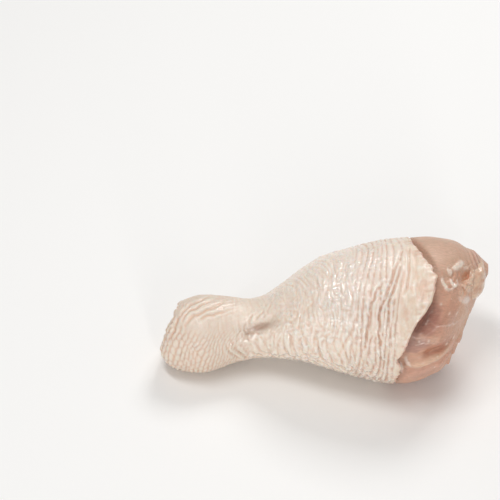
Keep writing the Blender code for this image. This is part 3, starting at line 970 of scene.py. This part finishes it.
    def lift(self, spot: Spots) -> Array:
        """All the relief of the skin's outer side over the leg's form."""
        wavy = spot.moved(0.0004 * spot.hills(51, 0.0035), 0.0005 * spot.hills(52, 0.0035))
        past, _ = self.form.past_folds(spot)
        calm = (1 - rise(past, -0.004, 0.0015)) * (1 - 0.5 * rise(past, -0.016, -0.008))
        height = self.hock_relief(spot) + self.body_relief(spot) * calm
        height += self.fold_relief(spot) + self.apron_relief(spot)
        for crease in self.creases:
            height += crease.height(wavy)
        (x0, a0), (x1, a1) = self.dimple_ends
        share = unit((spot.along - x0) / (x1 - x0))
        across = np.radians(turn_between(spot.turn, 0) - blend(a0, a1, share)) * self.shank_radius
        sunk = (across**2 + (spot.along - blend(x0, x1, share)) ** 2) / self.dimple_radius**2
        return height - self.dimple_depth * np.exp(-sunk)

    def tint(self, spot: Spots, hollow: Array) -> Array:
        """The skin's colour: cream, lilac where muscle shines through, yellow on fat,
        with painted shade in its creases and the dimple and painted highlights on its crests and the top of
        the calf.

        Args:
            spot: The spots.
            hollow: How deep each lies below its surroundings, in tenths of a millimetre.

        Returns:
            Linear colours.
        """
        past, share = self.form.past_folds(spot)
        small = spot.hills(62, 0.0050)
        lilac = spot.blob(0.013, 95, 0.020, 0.020) + 0.5 * spot.blob(0.010, 140, 0.014, 0.012)
        lilac += 0.7 * spot.blob(-0.040, 150, 0.010, 0.010)
        fat = rise(past, -0.001, 0.002)
        folds = band(past, -0.020, -0.010, -0.001, 0.001) * (1 - 0.6 * spot.blob(0.022, 88, 0.010, 0.012))
        yellow = 0.5 * rise(np.sin(np.radians(spot.turn)), 0.2, -0.8) + 0.3 * spot.hills(61, 0.016)
        net = rise(np.abs(spot.hills(63, 0.0017)), 0.20, 0.03)
        deep = unit(hollow)
        crest_glints = unit(-hollow - 0.3) * 0.8 * spot.blob(0.004, 122, 0.022, 0.018)
        return layered((240, 222, 203), spot.along.shape, (
            (unit(lilac) * 0.7, (232, 217, 207)),
            (unit(yellow) * 0.5, (240, 217, 194)),
            (0.8 * rise(-spot.along, 0.012, 0.040), (223, 206, 189)),
            # painted highlight: the top of the calf is painted lighter, as where the light from above falls
            (0.8 * spot.blob(0.006, 70, 0.030, 0.012), (248, 234, 220)),
            (net * (0.10 + 0.35 * fat), (222, 176, 150)),
            (unit(0.9 * small - 0.1) * 0.30, (232, 198, 177)),
            (fat * 0.75, (226, 204, 180)),
            (fat * unit(1.6 * small) * 0.65, (224, 180, 157)),
            (fat * rise(share, 0.6, 1.0) * 0.4, (226, 186, 160)),
            # painted highlights: raised spots paler, and near-white crest_glints on the crests of the calf's
            # middle band
            (unit(-hollow) * 0.5, (240, 228, 213)),
            (crest_glints, (255, 250, 243)),
            # painted shade: creases darker and pinker, more so towards the hock
            (deep * (0.58 + 0.20 * rise(-spot.along, 0.034, 0.040)), (221, 183, 156)),
            # the band of folds a little darker overall
            (0.30 * folds, (220, 194, 172)),
            # painted shade: darker still in the folds' creases and in the deepest creases
            (deep * 0.7 * folds, (200, 150, 123)),
            (unit(0.5 * hollow - 0.7) * 0.7, (202, 156, 129)),
            # painted shade in the dimple and at its end
            (unit(1.2 * spot.blob(-0.0240, 139, 0.0048, 0.0016)) * 0.75, (170, 136, 116)),
            (unit(1.2 * spot.blob(-0.0285, 147, 0.0022, 0.0016)) * 0.5, (190, 158, 138)),
        ))

    def wetness(self, spot: Spots, hollow: Array) -> tuple[Array, Array]:
        """How wet each spot is, and how beady, which is how much its small wrinkles and dew show."""
        past, _ = self.form.past_folds(spot)
        low = unit(0.5 - 0.5 * np.sin(np.radians(spot.turn + 20)))
        calf = rise(spot.along, -0.034, -0.024)
        patches = spot.hills(71, 0.009) * 0.5 + spot.hills(72, 0.0030) * 0.4
        wet = unit(0.40 + patches - 0.15 * hollow) * (1 - 0.6 * rise(past, -0.002, 0.002))
        wet = unit(wet + 0.35 * low * calf) * (1 - 0.8 * spot.blob(-0.0245, 139, 0.005, 0.003))
        wet *= 0.07 + 0.93 * calf
        wet = unit(wet + 0.8 * spot.blob(-0.0215, 178, 0.012, 0.0060))
        wet *= 1 - 0.85 * rise(past, -0.020, -0.008) * band(spot.turn, 40, 70, 138, 165)
        wet *= 1 - 0.6 * rise(np.cos(np.radians(spot.turn)), -0.1, 0.6)
        beady = rise(spot.along, -0.030, -0.010) * (1 - 0.6 * rise(past, -0.003, 0.001))
        return wet, beady * np.clip(0.45 + 0.45 * low + 0.9 * spot.hills(73, 0.006), 0.1, 1)

    def outer(self) -> tuple[Array, Array, Array, Array]:
        """The outer side's points, colours, wetness and beads, ring by ring from the opening to the edge."""
        turn = turns(self.columns)
        fold_end, edge = self.form.edges(turn)
        share = np.arange(self.cap_rings)[:, None] / self.cap_rings + 0 * turn
        cap, outward = self.cap(share, turn + 0 * share)
        step = np.diff(cap, axis=0, append=self.form.point(self.form.hock_x + 0 * turn, turn))
        cap_along = self.form.hock_x - np.cumsum(np.linalg.norm(step, axis=-1)[::-1], axis=0)[::-1]
        body = blend(self.form.hock_x, fold_end, np.arange(self.body_rings)[:, None] / self.body_rings)
        way = np.arange(self.apron_rings + 1)[:, None] / self.apron_rings
        apron = blend(fold_end, edge + self.ripple(turn), way)
        x = np.concatenate((cap[..., 0], body, apron))
        form = self.form.spots(x, turn)
        spot = Spots(np.concatenate((cap_along, body, apron)), form.turn, form.radius)
        past_cap = (x[self.cap_rings:], form.turn[self.cap_rings:])
        smooth = np.concatenate((cap, self.form.point(*past_cap)))
        height = self.lift(spot) * self.form.off_floor(smooth) + self.flap_lift(spot)
        height[: self.cap_rings] *= rise(share, -0.04, 0.08)
        points = np.concatenate((
            cap + outward * height[: self.cap_rings, :, None],
            self.form.point(*past_cap, height[self.cap_rings:]),
        ))
        hollow = (smeared(height, 4) - height) / self.hollow_unit
        return points, self.tint(spot, hollow), *self.wetness(spot, hollow)

    def ripple(self, turn: Array) -> Array:
        """The uneven line that the knife left along the skin's edge, as a length along x."""
        a = np.radians(turn)
        waves = sum(height * np.sin(count * a + start) for height, count, start in self.edge_waves)
        notches = sum(deep * np.exp(-(((turn - at) / wide) ** 2)) for deep, at, wide in self.edge_notches)
        edge = Spots(0 * turn, turn, 0 * turn + self.edge_radius)
        torn = self.edge_torn * band(turn, 160, 172, 206, 222) * edge.hills(83, 1.0, 0.0018)
        wide, narrow = self.edge_nicks
        nicks = wide * edge.hills(81, 1.0, 0.0030) + narrow * edge.hills(82, 1.0, 0.0012)
        return waves + torn - notches - self.edge_drawn_back + nicks

    def flap_lift(self, spot: Spots) -> Array:
        """How far the loose apron stands off the meat at the front, most of all at its edge."""
        turn, high, spread = self.flap
        _, share = self.form.past_folds(spot)
        off = high * share * np.exp(-((turn_between(spot.turn, turn) / spread) ** 2))
        return off - self.edge_sunk * share * self.form.snug(spot.turn)

    def inner(self) -> Array:
        """The lining, ring by ring from the edge back to the opening."""
        turn = turns(self.columns)
        _, edge = self.form.edges(turn)
        share = np.linspace(1, 0, self.lining_rings)[:, None] ** 0.8
        spot = self.form.spots(blend(self.form.hock_x, edge + self.ripple(turn), share), turn)
        leg = self.form.point(spot.along, spot.turn, self.flap_lift(spot) - self.form.skin_depth(spot))
        back = np.array((0.75, 0.5, 0.25, 0.08))[:, None] + 0 * turn
        cap, outward = self.cap(back, turn + 0 * back)
        return np.concatenate((leg, cap - outward * self.form.skin_thickness))

    def rim(self, outer: Array, inner: Array, off: Array, width: float) -> Array:
        """Half a round from one ring to another: off their middle by the width times sin, then back."""
        a = np.linspace(0, np.pi, self.rim_rings + 2)[1:-1, None, None]
        middle, half = (outer + inner) / 2, (outer - inner) / 2
        return middle + half * np.cos(a) + off * np.sin(a) * width

    def build(self) -> None:
        """Makes the sleeve and dresses it."""
        outer, tint, wet, beady = self.outer()
        inner = self.inner()
        knee = self.rim(outer[-1], inner[0], ALONG, self.knee_rim)
        hock = self.rim(inner[-1], outer[0], direction(outer[0] - outer[2]), self.hock_rim)
        rings = self.form.placed(np.concatenate((outer, knee, inner, hock)))
        cut = Noise(91).at(np.concatenate((knee, inner, hock)) / self.cut_grain)
        lining = np.zeros(cut.shape)
        lining[len(knee) + 1 : -len(hock)] = 0.5
        side = layered((232, 206, 182), cut.shape, (
            (0.35 + 0.8 * cut, (216, 158, 138)),
            (lining, (206, 150, 130)),
        ))
        tint = np.concatenate((tint, side)).reshape(-1, 3)
        wet = np.concatenate((wet, np.full(cut.shape, 0.6)))
        beady = np.concatenate((beady, np.zeros(cut.shape)))
        mesh = lofted("skin", rings)
        paint(mesh, tint, wet=wet, beady=beady)
        piece("skin_sleeve", mesh, SkinFinish().material(), "skin")


@dataclass(frozen=True)
class ShinBone:
    """The shin bone with its cartilage ends: x, centre y, centre z, half width, half height."""

    form: LegForm
    stations: Rows = (
        (-0.0566, 0.0053, 0.0158, 0.0000, 0.0000),
        (-0.0560, 0.0052, 0.0157, 0.0038, 0.0033),
        (-0.0546, 0.0048, 0.0154, 0.0058, 0.0052),
        (-0.0520, 0.0041, 0.0148, 0.0064, 0.0058),
        (-0.0484, 0.0030, 0.0142, 0.0059, 0.0052),
        (-0.0430, 0.0022, 0.0142, 0.0041, 0.0038),
        (-0.0280, 0.0022, 0.0165, 0.0033, 0.0031),
        (0.0000, 0.0026, 0.0232, 0.0034, 0.0033),
        (0.0250, 0.0038, 0.0294, 0.0040, 0.0042),
        (0.0400, 0.0049, 0.0330, 0.0058, 0.0056),
        (0.0480, 0.0056, 0.0350, 0.0080, 0.0068),
        (0.0530, 0.0060, 0.0362, 0.0086, 0.0070),
        (0.0565, 0.0063, 0.0371, 0.0072, 0.0058),
        (0.0583, 0.0065, 0.0376, 0.0042, 0.0034),
        (0.0590, 0.0066, 0.0378, 0.0000, 0.0000),
    )
    columns: int = 96
    rings: int = 120
    pinch: float = 0.16
    pinch_reach: Pair = (0.046, 0.054)
    lumps: float = 0.00035
    lump_size: float = 0.0019

    def mesh(self, name: str, clearance: float, lumps: float) -> bpy.types.Mesh:
        """The bone's closed form.

        Rings are ellipses whose halves follow the stations, crowded towards both ends by a cosine. Each joint
        end is pinched between its two rollers by |cos| of the turn.

        Args:
            name: The mesh's name.
            clearance: How far it is grown all round.
            lumps: The height of its uneven surface.

        Returns:
            The mesh.
        """
        first, last = self.stations[0], self.stations[-1]
        share = (1 - np.cos(np.linspace(0, np.pi, self.rings + 2)[1:-1])) / 2
        x = blend(first[0], last[0], share)[:, None]
        turn = turns(self.columns)
        y, z, wide, high = np.moveaxis(curve_rows(self.stations, x), -1, 0)
        rollers = np.abs(np.cos(np.radians(turn))) - 0.6
        pinch = 1 + self.pinch * rise(np.abs(x), *self.pinch_reach) * rollers
        uneven = 1 + Noise(101).at(round_points(x, turn, 0.006, 0.006) / self.lump_size)
        lift = clearance + lumps * (1 + 0.7 * rise(x, 0.045, 0.052)) * uneven
        points = round_points(x, turn, wide * pinch + lift, high * pinch + lift, y, z)
        ends = np.array((first[:3], last[:3])) + ((-clearance, 0, 0), (clearance, 0, 0))
        return lofted(name, self.form.placed(points), self.form.placed(ends))

    def build(self) -> None:
        """Makes the bone and dresses it."""
        mesh = self.mesh("shin_bone", 0.0, self.lumps)
        x = points_of(mesh)[:, 0]
        tint = layered((206, 190, 188), x.shape, (
            (rise(x, -0.053, -0.046), (205, 160, 140)),
            (rise(x, 0.040, 0.050), (222, 190, 164)),
        ))
        paint(mesh, tint)
        piece("shin_bone_raw", mesh, BoneFinish().material(), "shin_bone")


@dataclass(frozen=True)
class Oval:
    """A soft oval on the bare meat: its place and its half sizes."""

    along: float
    turn: float
    half_length: float
    half_width: float

    def soft(self, spot: Spots) -> Array:
        """1 in its middle, fading to 0."""
        return spot.blob(self.along, self.turn, self.half_length, self.half_width)


@dataclass(frozen=True)
class Lobe(Oval):
    """A swelling or a hollow of the bare meat."""

    height: float


@dataclass(frozen=True)
class Stain(Oval):
    """A patch of another colour on the bare meat: its colour, strength and wetness."""

    colour: Colour
    strength: float
    wet: float = 0.0

    def share(self, spot: Spots) -> Array:
        """1 in the patch, 0 away from it, with a ragged border."""
        soft = self.soft(spot)
        return rise(soft + 0.25 * spot.hills(131, 0.0030) * soft, 0.25, 0.75)


@dataclass(frozen=True)
class Strand:
    """A strip of membrane, tendon or fat on the bare meat: its line, size, colour, strength and wetness."""

    line: tuple[Pair, ...]
    height: float
    width: float
    colour: Colour
    strength: float
    wet: float = 0.0

    def share(self, spot: Spots) -> Array:
        """1 along its middle, 0 away from it."""
        d, fade = Crease(self.line, 0.0, self.width).near(spot)
        return rise(np.exp(-(d**2)) * fade, 0.15, 0.70)


@dataclass(frozen=True)
class Meat:
    """The muscle under the skin, bare past the skin's edge, with a tunnel for the bone.

    Rows of bare hold a turn, how deep below the leg's form the bare meat lies, and how far past the edge it
    gets there. Those of drops hold a place, and those of torn a place and two half sizes.
    """

    form: LegForm
    bone: ShinBone
    columns: int = 320
    covered_rings: int = 36
    bare_rings: int = 230
    covered_end: float = 0.0200
    hock_x: float = -0.0460
    hock_cap: float = 0.0055
    cap_rings: int = 8
    cap_steep: float = 80.0
    tip_x: float = 0.0600
    inset: float = 0.0026
    edge_gap: float = 0.0012
    skin_gap: float = 0.0005
    snug_gain: float = 0.0008
    bone_clearance: float = 0.0004
    nose_heights: Pair = (0.001, 0.011)
    bare: Rows = (
        (20, 0.0004, 0.0040),
        (60, 0.0002, 0.0026),
        (95, 0.0004, 0.0034),
        (130, 0.0016, 0.0070),
        (165, 0.0022, 0.0080),
        (195, 0.0012, 0.0060),
        (225, 0.0003, 0.0026),
        (290, 0.0004, 0.0036),
    )
    lobes: tuple[Lobe, ...] = (
        Lobe(0.0415, 75, 0.0100, 0.0150, 0.0006),
        Lobe(0.0507, 118, 0.0019, 0.0028, -0.0024),
        Lobe(0.0545, 140, 0.0026, 0.0040, 0.0009),
        Lobe(0.0450, 113, 0.0030, 0.0016, -0.0008),
        Lobe(0.0550, 186, 0.0016, 0.0040, -0.0014),
        Lobe(0.0500, 149, 0.0030, 0.0022, 0.0012),
        Lobe(0.0440, 150, 0.0050, 0.0060, 0.0009),
        Lobe(0.0350, 147, 0.0040, 0.0050, -0.0012),
        Lobe(0.0395, 170, 0.0060, 0.0060, 0.0006),
        Lobe(0.0395, 181, 0.0060, 0.0018, -0.0016),
        Lobe(0.0430, 196, 0.0030, 0.0020, -0.0008),
        Lobe(0.0368, 188, 0.0070, 0.0022, 0.0016),
        Lobe(0.0345, 197, 0.0080, 0.0012, -0.0010),
        Lobe(0.0492, 203, 0.0010, 0.0020, 0.0022),
        Lobe(0.0470, 208, 0.0008, 0.0016, 0.0020),
        Lobe(0.0450, 212, 0.0009, 0.0018, 0.0018),
        Lobe(0.0430, 335, 0.0090, 0.0020, -0.0020),
        Lobe(0.0430, 290, 0.0090, 0.0018, -0.0016),
        Lobe(0.0420, 245, 0.0090, 0.0016, -0.0013),
        Lobe(0.0500, 20, 0.0050, 0.0026, -0.0014),
        Lobe(0.0520, 315, 0.0030, 0.0040, 0.0010),
        Lobe(0.0520, 262, 0.0026, 0.0030, 0.0009),
    )
    stains: tuple[Stain, ...] = (
        Stain(0.0400, 76, 0.0190, 0.0210, (207, 170, 146), 1.0),
        Stain(0.0560, 80, 0.0030, 0.0070, (198, 154, 136), 0.6),
        Stain(0.0455, 132, 0.0080, 0.0050, (208, 162, 138), 0.6),
        Stain(0.0420, 152, 0.0070, 0.0080, (202, 152, 128), 0.8),
        Stain(0.0510, 168, 0.0040, 0.0130, (216, 170, 140), 0.9),
        Stain(0.0470, 172, 0.0030, 0.0050, (210, 164, 137), 0.7),
        # painted shadow: the dark patch in the pocket under the front flap
        Stain(0.0360, 148, 0.0070, 0.0080, (164, 108, 90), 0.85),
        Stain(0.0325, 169, 0.0060, 0.0036, (178, 134, 120), 0.9),
        Stain(0.0400, 179, 0.0070, 0.0040, (182, 120, 92), 0.9),
        # a cream band of fat along a swelling; its paleness is partly the fat and partly painted light where
        # the swelling catches it
        Stain(0.0372, 188, 0.0085, 0.0020, (222, 184, 156), 0.9, 0.4),
        Stain(0.0360, 203, 0.0120, 0.0050, (206, 158, 136), 0.8),
        Stain(0.0507, 118, 0.0020, 0.0026, (204, 144, 110), 0.9),
        Stain(0.0545, 138, 0.0034, 0.0050, (226, 194, 168), 0.8, 0.6),
        Stain(0.0470, 116, 0.0030, 0.0050, (198, 148, 122), 0.7, 0.2),
        Stain(0.0400, 330, 0.0120, 0.0090, (178, 132, 118), 0.6),
        Stain(0.0360, 255, 0.0110, 0.0080, (184, 138, 122), 0.6),
        Stain(0.0520, 315, 0.0034, 0.0050, (230, 204, 178), 0.8, 0.4),
        Stain(0.0515, 262, 0.0030, 0.0034, (226, 196, 170), 0.8, 0.4),
        Stain(0.0300, 300, 0.0060, 0.0040, (228, 204, 180), 0.6, 0.3),
    )
    strands: tuple[Strand, ...] = (
        Strand(((0.0417, 111), (0.0428, 121), (0.0437, 124)), 0.0004, 0.0007, (240, 224, 208), 1.0, 0.9),
        Strand(((0.0439, 104), (0.0447, 108), (0.0455, 112)), 0.0004, 0.0006, (238, 220, 204), 0.9, 0.9),
        Strand(
            ((0.0448, 114), (0.0456, 121), (0.0468, 125), (0.0473, 123)),
            0.0005, 0.0007, (240, 224, 208), 1.0, 0.9,
        ),
        Strand(((0.0427, 123), (0.0445, 125), (0.0465, 126)), 0.0004, 0.0006, (234, 212, 196), 0.8, 0.9),
        Strand(((0.0472, 118), (0.0478, 122), (0.0485, 127)), 0.0003, 0.0004, (232, 208, 190), 0.7, 0.9),
        Strand(((0.0458, 108), (0.0480, 104), (0.0502, 98)), 0.0004, 0.0013, (240, 222, 204), 1.0, 0.9),
        Strand(((0.0500, 108), (0.0512, 106), (0.0522, 110)), 0.0004, 0.0005, (228, 202, 184), 0.8, 0.8),
        Strand(((0.0525, 112), (0.0532, 124), (0.0530, 140)), 0.0004, 0.0006, (232, 206, 184), 0.6, 0.8),
        Strand(((0.0487, 124), (0.0506, 135), (0.0528, 150)), 0.0005, 0.0006, (228, 192, 166), 0.8, 0.7),
        Strand(((0.0502, 123), (0.0518, 130), (0.0540, 146)), 0.0005, 0.0005, (230, 196, 170), 0.8, 0.7),
        Strand(((0.0476, 129), (0.0494, 140), (0.0510, 150)), 0.0004, 0.0005, (220, 180, 154), 0.7, 0.6),
        Strand(((0.0477, 138), (0.0505, 153), (0.0526, 172)), 0.0003, 0.0009, (230, 206, 190), 0.6, 0.6),
        Strand(((0.0386, 155), (0.0439, 158), (0.0497, 176)), 0.0002, 0.0003, (226, 192, 174), 0.6, 0.5),
        Strand(((0.0300, 167), (0.0350, 168), (0.0400, 172)), 0.0002, 0.0003, (222, 190, 174), 0.5, 0.5),
        Strand(((0.0250, 181), (0.0267, 191), (0.0277, 203)), 0.0004, 0.0010, (236, 218, 202), 0.8, 0.8),
        Strand(((0.0284, 178), (0.0292, 186), (0.0310, 190)), 0.0003, 0.0006, (234, 214, 198), 0.7, 0.8),
        Strand(((0.0478, 200), (0.0500, 208), (0.0520, 224)), 0.0005, 0.0008, (212, 170, 146), 0.5, 0.4),
        Strand(((0.0330, 342), (0.0400, 337), (0.0470, 331)), 0.0002, 0.0012, (226, 200, 182), 0.45, 0.6),
        Strand(((0.0290, 286), (0.0360, 291), (0.0440, 293)), 0.0002, 0.0010, (226, 198, 180), 0.45, 0.6),
        Strand(((0.0320, 247), (0.0380, 244), (0.0450, 238)), 0.0002, 0.0008, (224, 194, 176), 0.4, 0.6),
        Strand(((0.0460, 22), (0.0500, 18), (0.0535, 10)), 0.0003, 0.0011, (230, 206, 188), 0.6, 0.8),
        Strand(((0.0490, 348), (0.0520, 352), (0.0545, 360)), 0.0003, 0.0008, (228, 202, 184), 0.5, 0.8),
        Strand(((0.0300, 40), (0.0360, 34), (0.0430, 32)), 0.0002, 0.0004, (226, 196, 178), 0.5, 0.5),
    )
    drops: Rows = (
        (0.0444, 148),
        (0.0413, 136),
        (0.0473, 156),
        (0.0364, 149),
        (0.0358, 151),
        (0.0334, 165),
        (0.0369, 167),
        (0.0464, 183),
        (0.0437, 181),
        (0.0420, 300),
        (0.0460, 342),
        (0.0380, 20),
    )
    drop_size: float = 0.00045
    drop_height: float = 0.00030
    ring_pitch: float = 0.0017
    ring_height: float = 0.00028
    fray: float = 0.0004
    bundle_height: float = 0.00024
    lump_height: float = 0.00022
    torn_height: float = 0.0010
    torn: Rows = (
        (0.048, 118, 0.005, 0.006),
        (0.053, 136, 0.004, 0.007),
        (0.046, 200, 0.005, 0.006),
        (0.052, 218, 0.004, 0.008),
        (0.052, 300, 0.004, 0.010),
        (0.053, 10, 0.003, 0.006),
    )

    def relief(self, spot: Spots) -> Array:
        """Lobes, hollows, fibre bundles and torn membrane past the skin's edge."""
        _, edge = self.form.edges(spot.turn)
        height = sum(lobe.height * lobe.soft(spot) for lobe in self.lobes)
        bundles = spot.moved(0.0, 0.0020 * spot.hills(111, 0.008)).wrinkles(112, 0.018, 0.0030)
        fibres = self.bundle_height * bundles + self.lump_height * spot.hills(113, 0.0060, 0.0050)
        smooth = 1 - 0.92 * unit(1.3 * spot.blob(0.040, 78, 0.012, 0.018))
        torn = unit(sum(spot.blob(*at) for at in self.torn))
        height = height + fibres * smooth + self.torn_height * spot.wrinkles(114, 0.0020) * torn
        rings, tip = self.tip_rings(spot)
        height += self.ring_height * (rings - 0.6) * tip
        frayed = self.frayed(spot)
        height += sum(strand.height * strand.share(frayed) for strand in self.strands)
        height += self.drop_height * self.beads(spot)
        start = edge + self.edge_gap
        return height * rise(spot.along, start - 0.0005, start + 0.0010)

    def beads(self, spot: Spots) -> Array:
        """Small drops and grains that stand on the bare meat."""
        return unit(sum(spot.blob(*at, self.drop_size, self.drop_size) for at in self.drops))

    def frayed(self, spot: Spots) -> Spots:
        """The spots shifted a little at random, which gives what is read at them a frayed border."""
        return spot.moved(self.fray * spot.hills(115, 0.0019), self.fray * spot.hills(116, 0.0019))

    def tip_rings(self, spot: Spots) -> tuple[Array, Array]:
        """The curved rings where the muscle is drawn into its tendon, and each spot's share in them."""
        warp = 0.0005 * spot.hills(111, 0.008)
        count = (spot.along - 0.00006 * turn_between(spot.turn, 89) + warp) / self.ring_pitch
        return ridges(count), spot.blob(0.0555, 84, 0.0035, 0.0090)

    def lift(self, spot: Spots) -> Array:
        """How far the meat lies off the leg's form: sunk under the skin, swelling out past its edge."""
        _, edge = self.form.edges(spot.turn)
        bare = round_rows(self.bare, spot.turn)
        snug = self.form.snug(spot.turn)
        start = edge + self.edge_gap * (1 - snug)
        swell = rise((spot.along - start) / (bare[..., 1] - self.snug_gain * snug), 0, 1)
        close = self.form.skin_depth(spot) + self.skin_gap
        lift = -blend(blend(self.inset, close, snug), bare[..., 0], swell) + self.relief(spot)
        return lift * rise(self.form.section(spot.along)[..., 3], *self.nose_heights)

    def body(self) -> bpy.types.Mesh:
        """The closed form before its tunnel: ellipses from a round cap at the hock to the nose."""
        caps = np.radians(np.linspace(self.cap_steep, 0, self.cap_rings, endpoint=False))
        way = np.sin(np.linspace(0, np.pi / 2, self.bare_rings + 1)) ** 0.9
        bare = blend(self.covered_end, self.tip_x, way)[:-1]
        x = np.concatenate((
            self.hock_x - self.hock_cap * np.sin(caps),
            np.linspace(self.hock_x, self.covered_end, self.covered_rings, endpoint=False),
            bare,
        ))[:, None]
        share = np.concatenate((np.cos(caps), np.ones(self.covered_rings + len(bare))))[:, None]
        spot = self.form.spots(x, turns(self.columns))
        points = self.form.point(spot.along, spot.turn, self.lift(spot), share)
        first, last = self.form.stations[0], self.form.stations[-1]
        ends = np.array(((self.hock_x - self.hock_cap, *first[1:3]), (self.tip_x, *last[1:3])))
        return lofted("meat", self.form.placed(points), self.form.placed(ends))

    def drilled(self, mesh: bpy.types.Mesh) -> bpy.types.Mesh:
        """The form with the bone's tunnel cut through it."""
        whole = hung("meat_whole", mesh)
        cutter = hung("bone_cutter", self.bone.mesh("bone_cutter", self.bone_clearance, 0.0))
        cut = whole.modifiers.new("tunnel", "BOOLEAN")
        cut.operation, cut.solver, cut.object = "DIFFERENCE", "EXACT", cutter
        result = bpy.data.meshes.new_from_object(whole.evaluated_get(bpy.context.evaluated_depsgraph_get()))
        for made in (whole, cutter):
            bpy.data.objects.remove(made)
        result.name = "meat_raw"
        result.set_sharp_from_angle(angle=math.radians(60))
        return result

    def dress(self, mesh: bpy.types.Mesh) -> None:
        """Paints the muscle, its membranes and fat by place, with painted shadow under the skin's edge and
        painted glints on the drops.
        """
        x, y, z = self.form.unplaced(points_of(mesh)).T
        middle_y, middle_z, wide, high = self.form.section(x).T
        out_y = (y - middle_y) / np.maximum(wide, 0.001)
        out_z = (z - middle_z) / np.maximum(high, 0.001)
        spot = self.form.spots(x, np.degrees(np.arctan2(out_z, out_y)) % 360)
        frayed = self.frayed(spot)
        stains = [(mark, mark.share(spot)) for mark in self.stains]
        strands = [(mark, mark.share(frayed)) for mark in self.strands]
        lie = spot.moved(0.0, 0.0015 * spot.hills(121, 0.008))
        large = spot.hills(123, 0.007)
        membrane = rise(np.abs(lie.hills(124, 0.010, 0.0060)), 0.10, 0.0)
        rings, tip = self.tip_rings(spot)
        _, edge = self.form.edges(spot.turn)
        # painted shadow: dark in the pocket under the loose front flap, and a faint band just past the skin's
        # edge all round
        pocket_shadow = 0.9 * spot.blob(0.034, 148, 0.013, 0.011)
        hem_shadow = 0.25 * (1 - rise(x, edge, edge + 0.004))
        shade = blend(hem_shadow, pocket_shadow * (1 - rise(x, edge, edge + 0.0095)), pocket_shadow)
        colour = layered((212, 166, 141), x.shape, (
            (unit(0.5 * lie.hills(122, 0.012, 0.0016) + 0.2) * 0.3, (212, 168, 144)),
            (unit(0.8 * large) * 0.4, (194, 146, 127)),
            *((mark.strength * share, mark.colour) for mark, share in stains),
            (0.6 * (1 - rings) * tip, (166, 116, 100)),
            (0.6 * rings**3 * tip, (224, 192, 170)),
            *((mark.strength * share, mark.colour) for mark, share in strands),
            # painted glints: the drops, which stand in relief, are also painted pale
            (0.8 * self.beads(spot), (240, 222, 206)),
            (0.12 * membrane * (1 - unit(1.3 * spot.blob(0.040, 78, 0.014, 0.020))), (226, 196, 180)),
            (shade, (120, 68, 54)),
        ))
        wet = 0.22 + 0.35 * large - 0.7 * spot.blob(0.038, 76, 0.016, 0.020)
        for mark, share in (*stains, *strands):
            wet += mark.wet * share
        paint(mesh, colour, wet=unit(wet))

    def build(self) -> None:
        """Makes the meat and dresses it."""
        mesh = self.drilled(self.body())
        self.dress(mesh)
        piece("meat_raw", mesh, MeatFinish().material(), "meat")


@dataclass(frozen=True)
class SoftLight:
    """A softbox: where it stands, how wide and tall it is, and its power in watts. It faces the leg."""

    name: str
    stand: Triple
    size: Pair
    power: float
    leg: Triple = (0, 0, 0.02)

    def build(self) -> None:
        """Hangs the light."""
        lamp = bpy.data.lights.new(self.name, "AREA")
        lamp.shape = "RECTANGLE"
        (lamp.size, lamp.size_y), lamp.energy = self.size, self.power
        aimed(self.name, lamp, Vector(self.stand), Vector(self.stand) - Vector(self.leg))


@dataclass(frozen=True)
class Studio:
    """A plain pale floor, soft light from all round, and a camera that looks down from the front."""

    pixel: float = 0.3692e-3
    frame_px: int = 500
    distance: float = 1.2
    look_down: float = 40.0
    middle_px: Pair = (324.5, 309.2)
    sensor_mm: float = 36.0
    sky: float = 0.37
    floor_half: float = 3.0
    leg_height: float = 0.026
    lights: tuple[SoftLight, ...] = (
        SoftLight("softbox_above", (-0.16, -0.10, 0.72), (0.44, 0.06), 1.5),
        SoftLight("softbox_front", (0.12, -0.76, 0.26), (0.05, 0.44), 1.3),
        SoftLight("softbox_left", (-0.52, -0.56, 0.26), (0.05, 0.40), 0.8),
        SoftLight("softbox_back", (0.20, 0.46, 0.62), (0.30, 0.30), 2.2),
    )

    def floor(self) -> None:
        """Lays the floor."""
        mesh = bpy.data.meshes.new("floor")
        half = self.floor_half
        corners = [(-half, -half, 0.0), (half, -half, 0.0), (half, half, 0.0), (-half, half, 0.0)]
        mesh.from_pydata(corners, [], [(0, 1, 2, 3)])
        s = Shader("floor")
        s.set(Base_Color=srgb(250, 249, 247), Roughness=0.75)
        mesh.materials.append(s.material)
        hung("floor", mesh)

    def camera(self) -> None:
        """Places the camera: it looks down from the front, and its aim sets where the leg stands."""
        e = math.radians(self.look_down)
        up, back = Vector((0, math.sin(e), math.cos(e))), Vector((0, -math.cos(e), math.sin(e)))
        half = self.frame_px / 2
        aim = Vector((-(self.middle_px[0] - half) * self.pixel, 0, self.leg_height))
        aim += up * (self.middle_px[1] - half) * self.pixel
        lens = bpy.data.cameras.new("camera")
        lens.sensor_width = self.sensor_mm
        lens.lens = self.sensor_mm * self.distance / (self.frame_px * self.pixel)
        lens.clip_start, lens.clip_end = 0.05, 20.0
        bpy.context.scene.camera = aimed("camera", lens, aim + back * self.distance, back)

    def build(self) -> None:
        """Sets up the studio."""
        scene = bpy.context.scene
        scene.view_settings.view_transform = "Standard"
        world = bpy.data.worlds.new("studio")
        world.use_nodes = True
        backdrop = world.node_tree.nodes["Background"]
        backdrop.inputs["Color"].default_value = (1, 1, 1, 1)
        backdrop.inputs["Strength"].default_value = self.sky
        scene.world = world
        self.floor()
        self.camera()
        for light in self.lights:
            light.build()


def main() -> None:
    """Builds the drumstick piece by piece, then the studio."""
    logging.basicConfig(level=logging.INFO, format="%(name)s: %(message)s")
    form = LegForm()
    bone = ShinBone(form)
    for part in (bone, Meat(form, bone), Skin(form), Studio()):
        part.build()
        LOG.info("%s is ready", type(part).__name__)


if __name__ == "__main__":
    main()
